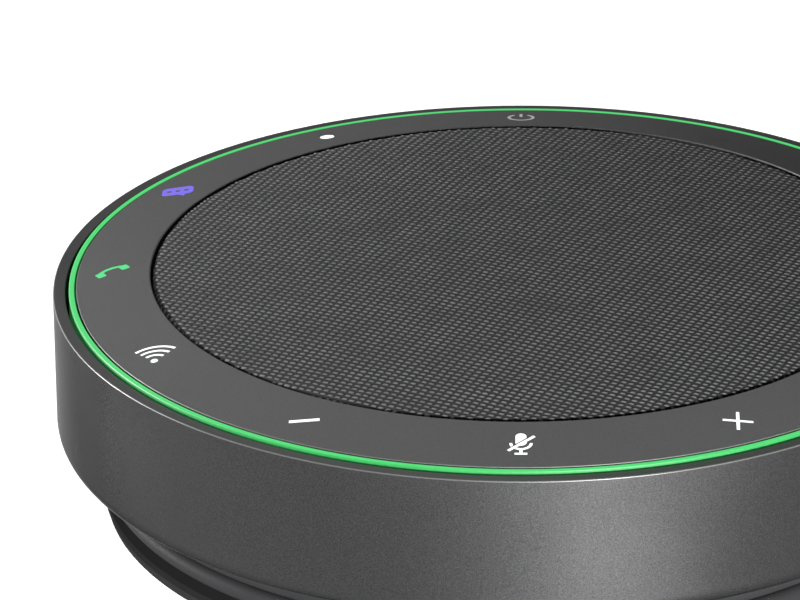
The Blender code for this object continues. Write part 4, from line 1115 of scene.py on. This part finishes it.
class SPEAKERPHONE_OT_inside(bpy.types.Operator):
    """Give the parts inside their finishes"""

    bl_idname = "speakerphone.inside"
    bl_label = "Inside"
    bl_options = {"REGISTER", "UNDO"}

    def execute(self, context):
        black = moulded_plastic("inner_plastic", (0.022, 0.022, 0.023), 0.55)
        rubber = soft_rubber("inner_rubber", (0.016, 0.016, 0.016))
        steel = plain_metal("inner_steel", (0.5, 0.5, 0.51), 0.32)
        board = moulded_plastic("solder_mask", (0.008, 0.10, 0.045), 0.4, 1.2 * MM)
        finishes = {
            black: ("chassis", "speaker_chamber", "grille_frame"),
            rubber: ("speaker_surround", *(f"microphone_{number}" for number in range(1, 5))),
            steel: ("yoke", "pole_plate", "speaker_basket", "shield_can",
                    *(f"speaker_screw_{number}" for number in range(1, 4))),
            board: ("key_board", "main_board", "antenna_board"),
            moulded_plastic("ferrite", (0.03, 0.03, 0.032), 0.7, 0.3 * MM): ("magnet",),
            plain_metal("winding", (0.72, 0.32, 0.14), 0.35, (0.3, 0.3, 6.0)): ("voice_coil",),
            soft_rubber("silicone", (0.45, 0.45, 0.44), 0.6): ("switch_mat",),
            moulded_plastic("battery_wrap", (0.02, 0.05, 0.22), 0.35, 0.8 * MM): ("battery_pack",),
            moulded_plastic("ribbon_film", (0.45, 0.2, 0.03), 0.35, 0.6 * MM): ("board_ribbon",),
            soft_rubber("gasket_foam", (0.02, 0.02, 0.02), 0.95): ("speaker_gasket",),
            soft_rubber("spider_cloth", (0.42, 0.34, 0.18), 0.9): ("spider",),
            soft_rubber("pressed_paper", (0.025, 0.025, 0.025), 0.9): ("speaker_cone", "dust_cap"),
        }
        for material, nodes in finishes.items():
            for node in nodes:
                wear(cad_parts[node], material)
        return {"FINISHED"}


class SPEAKERPHONE_OT_stage(bpy.types.Operator):
    """Set the floor, the studio lights and the camera"""

    bl_idname = "speakerphone.stage"
    bl_label = "Stage"
    bl_options = {"REGISTER", "UNDO"}

    # Name, azimuth and elevation in degrees, size in metres, power in watts.
    LIGHTS = (
        ("front_right_light", 19, 4, (0.20, 0.14), 50.0),
        ("left_light", -106, 6, (0.20, 0.14), 34.0),
        ("back_left_light", -143, 24, (0.5, 0.4), 2.8),
        ("back_light", -170, 45, (0.5, 0.4), 1.0),
        ("back_right_light", 150, 40, (0.5, 0.4), 0.9),
    )
    LIGHT_DISTANCE = 0.9
    SURROUND_STRENGTH = 0.02
    FLOOR_STRENGTH = 0.45

    def execute(self, context):
        values = settings("stage")
        self.floor(values)
        self.camera(values)
        self.lights()
        return {"FINISHED"}

    def floor(self, values):
        """A wide sheet of pale paper, lit a little from within."""
        half = 4.0
        corners = [(-half, -half, 0), (half, -half, 0), (half, half, 0), (-half, half, 0)]
        floor = mesh_object("floor", corners, [(0, 1, 2, 3)])
        made = Finish("floor_paper")
        tint = made.noise(0.4, 2.0)
        made.set(Base_Color=made.blend(tint, tone(values.floor, 0.99), values.floor), Roughness=0.85,
                 Emission_Color=(1.0, 1.0, 1.0), Emission_Strength=self.FLOOR_STRENGTH)
        wear(floor, made.material)

    def camera(self, values):
        """Looks along +Y and down at the rim's middle, then turns a little in its own frame."""
        data = bpy.data.cameras.new("camera")
        data.lens = values.lens
        data.clip_start = 0.05
        data.clip_end = 20.0
        camera = linked("camera", data)
        down = values.elevation
        target = Vector((0.0, 0.0, RIM_TOP))
        back = Vector((0.0, -math.cos(down), math.sin(down)))
        place = Matrix.Translation(target + back * values.distance)
        aim = Matrix.Rotation(math.radians(90) - down, 4, "X")
        own = Matrix.Rotation(values.turn, 4, "Y") @ Matrix.Rotation(-values.dip, 4, "X")
        camera.matrix_world = place @ aim @ own
        bpy.context.scene.camera = camera

    def lights(self):
        """Soft boxes round the unit, over an even pale surround."""
        world = bpy.data.worlds.new("surround")
        bpy.context.scene.world = world
        world.use_nodes = True
        sky = world.node_tree.nodes["Background"].inputs
        sky["Color"].default_value = (1.0, 1.0, 1.0, 1.0)
        sky["Strength"].default_value = self.SURROUND_STRENGTH
        for light in self.LIGHTS:
            self.soft_box(*light)
        bpy.context.scene.view_settings.view_transform = "Standard"

    def soft_box(self, name, azimuth, elevation, size, power):
        """An area light facing the unit; azimuth 0 is the camera's side and + is to the right."""
        data = bpy.data.lights.new(name, "AREA")
        data.shape = "RECTANGLE"
        data.size, data.size_y = size
        data.energy = power
        light = linked(name, data)
        rise = math.radians(elevation)
        away = around(math.cos(rise), azimuth - 90, math.sin(rise))
        light.location = away * self.LIGHT_DISTANCE
        light.rotation_mode = "QUATERNION"
        light.rotation_quaternion = away.to_track_quat("Z", "Y")


MAKERS = (
    SPEAKERPHONE_OT_stage, SPEAKERPHONE_OT_lead, SPEAKERPHONE_OT_shell, SPEAKERPHONE_OT_light_band,
    SPEAKERPHONE_OT_key_ring, SPEAKERPHONE_OT_keys, SPEAKERPHONE_OT_cloth, SPEAKERPHONE_OT_base,
    SPEAKERPHONE_OT_inside,
)
GROUPS = {
    "shell": ShellSettings,
    "light": LightSettings,
    "cloth": ClothSettings,
    "lead": LeadSettings,
    "stage": StageSettings,
}


class SPEAKERPHONE_PT_panel(bpy.types.Panel):
    """Lists the settings and the makers"""

    bl_idname = "SPEAKERPHONE_PT_panel"
    bl_label = "Speakerphone"
    bl_space_type = "VIEW_3D"
    bl_region_type = "UI"
    bl_category = "Speakerphone"

    def draw(self, context):
        for name, group in GROUPS.items():
            column = self.layout.column(heading=name.title())
            for field in group.__annotations__:
                column.prop(settings(name), field)
        for maker in MAKERS:
            self.layout.operator(maker.bl_idname)


def register():
    for group in GROUPS.values():
        bpy.utils.register_class(group)
    for maker in MAKERS:
        bpy.utils.register_class(maker)
    bpy.utils.register_class(SPEAKERPHONE_PT_panel)
    for name, group in GROUPS.items():
        setattr(bpy.types.Scene, "speakerphone_" + name, PointerProperty(type=group))


def unregister():
    for name in GROUPS:
        delattr(bpy.types.Scene, "speakerphone_" + name)
    bpy.utils.unregister_class(SPEAKERPHONE_PT_panel)
    for made in (*MAKERS, *GROUPS.values()):
        bpy.utils.unregister_class(made)


def main():
    """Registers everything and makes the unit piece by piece."""
    register()
    for maker in MAKERS:
        group, name = maker.bl_idname.split(".")
        getattr(getattr(bpy.ops, group), name)()


if __name__ == "__main__":
    main()
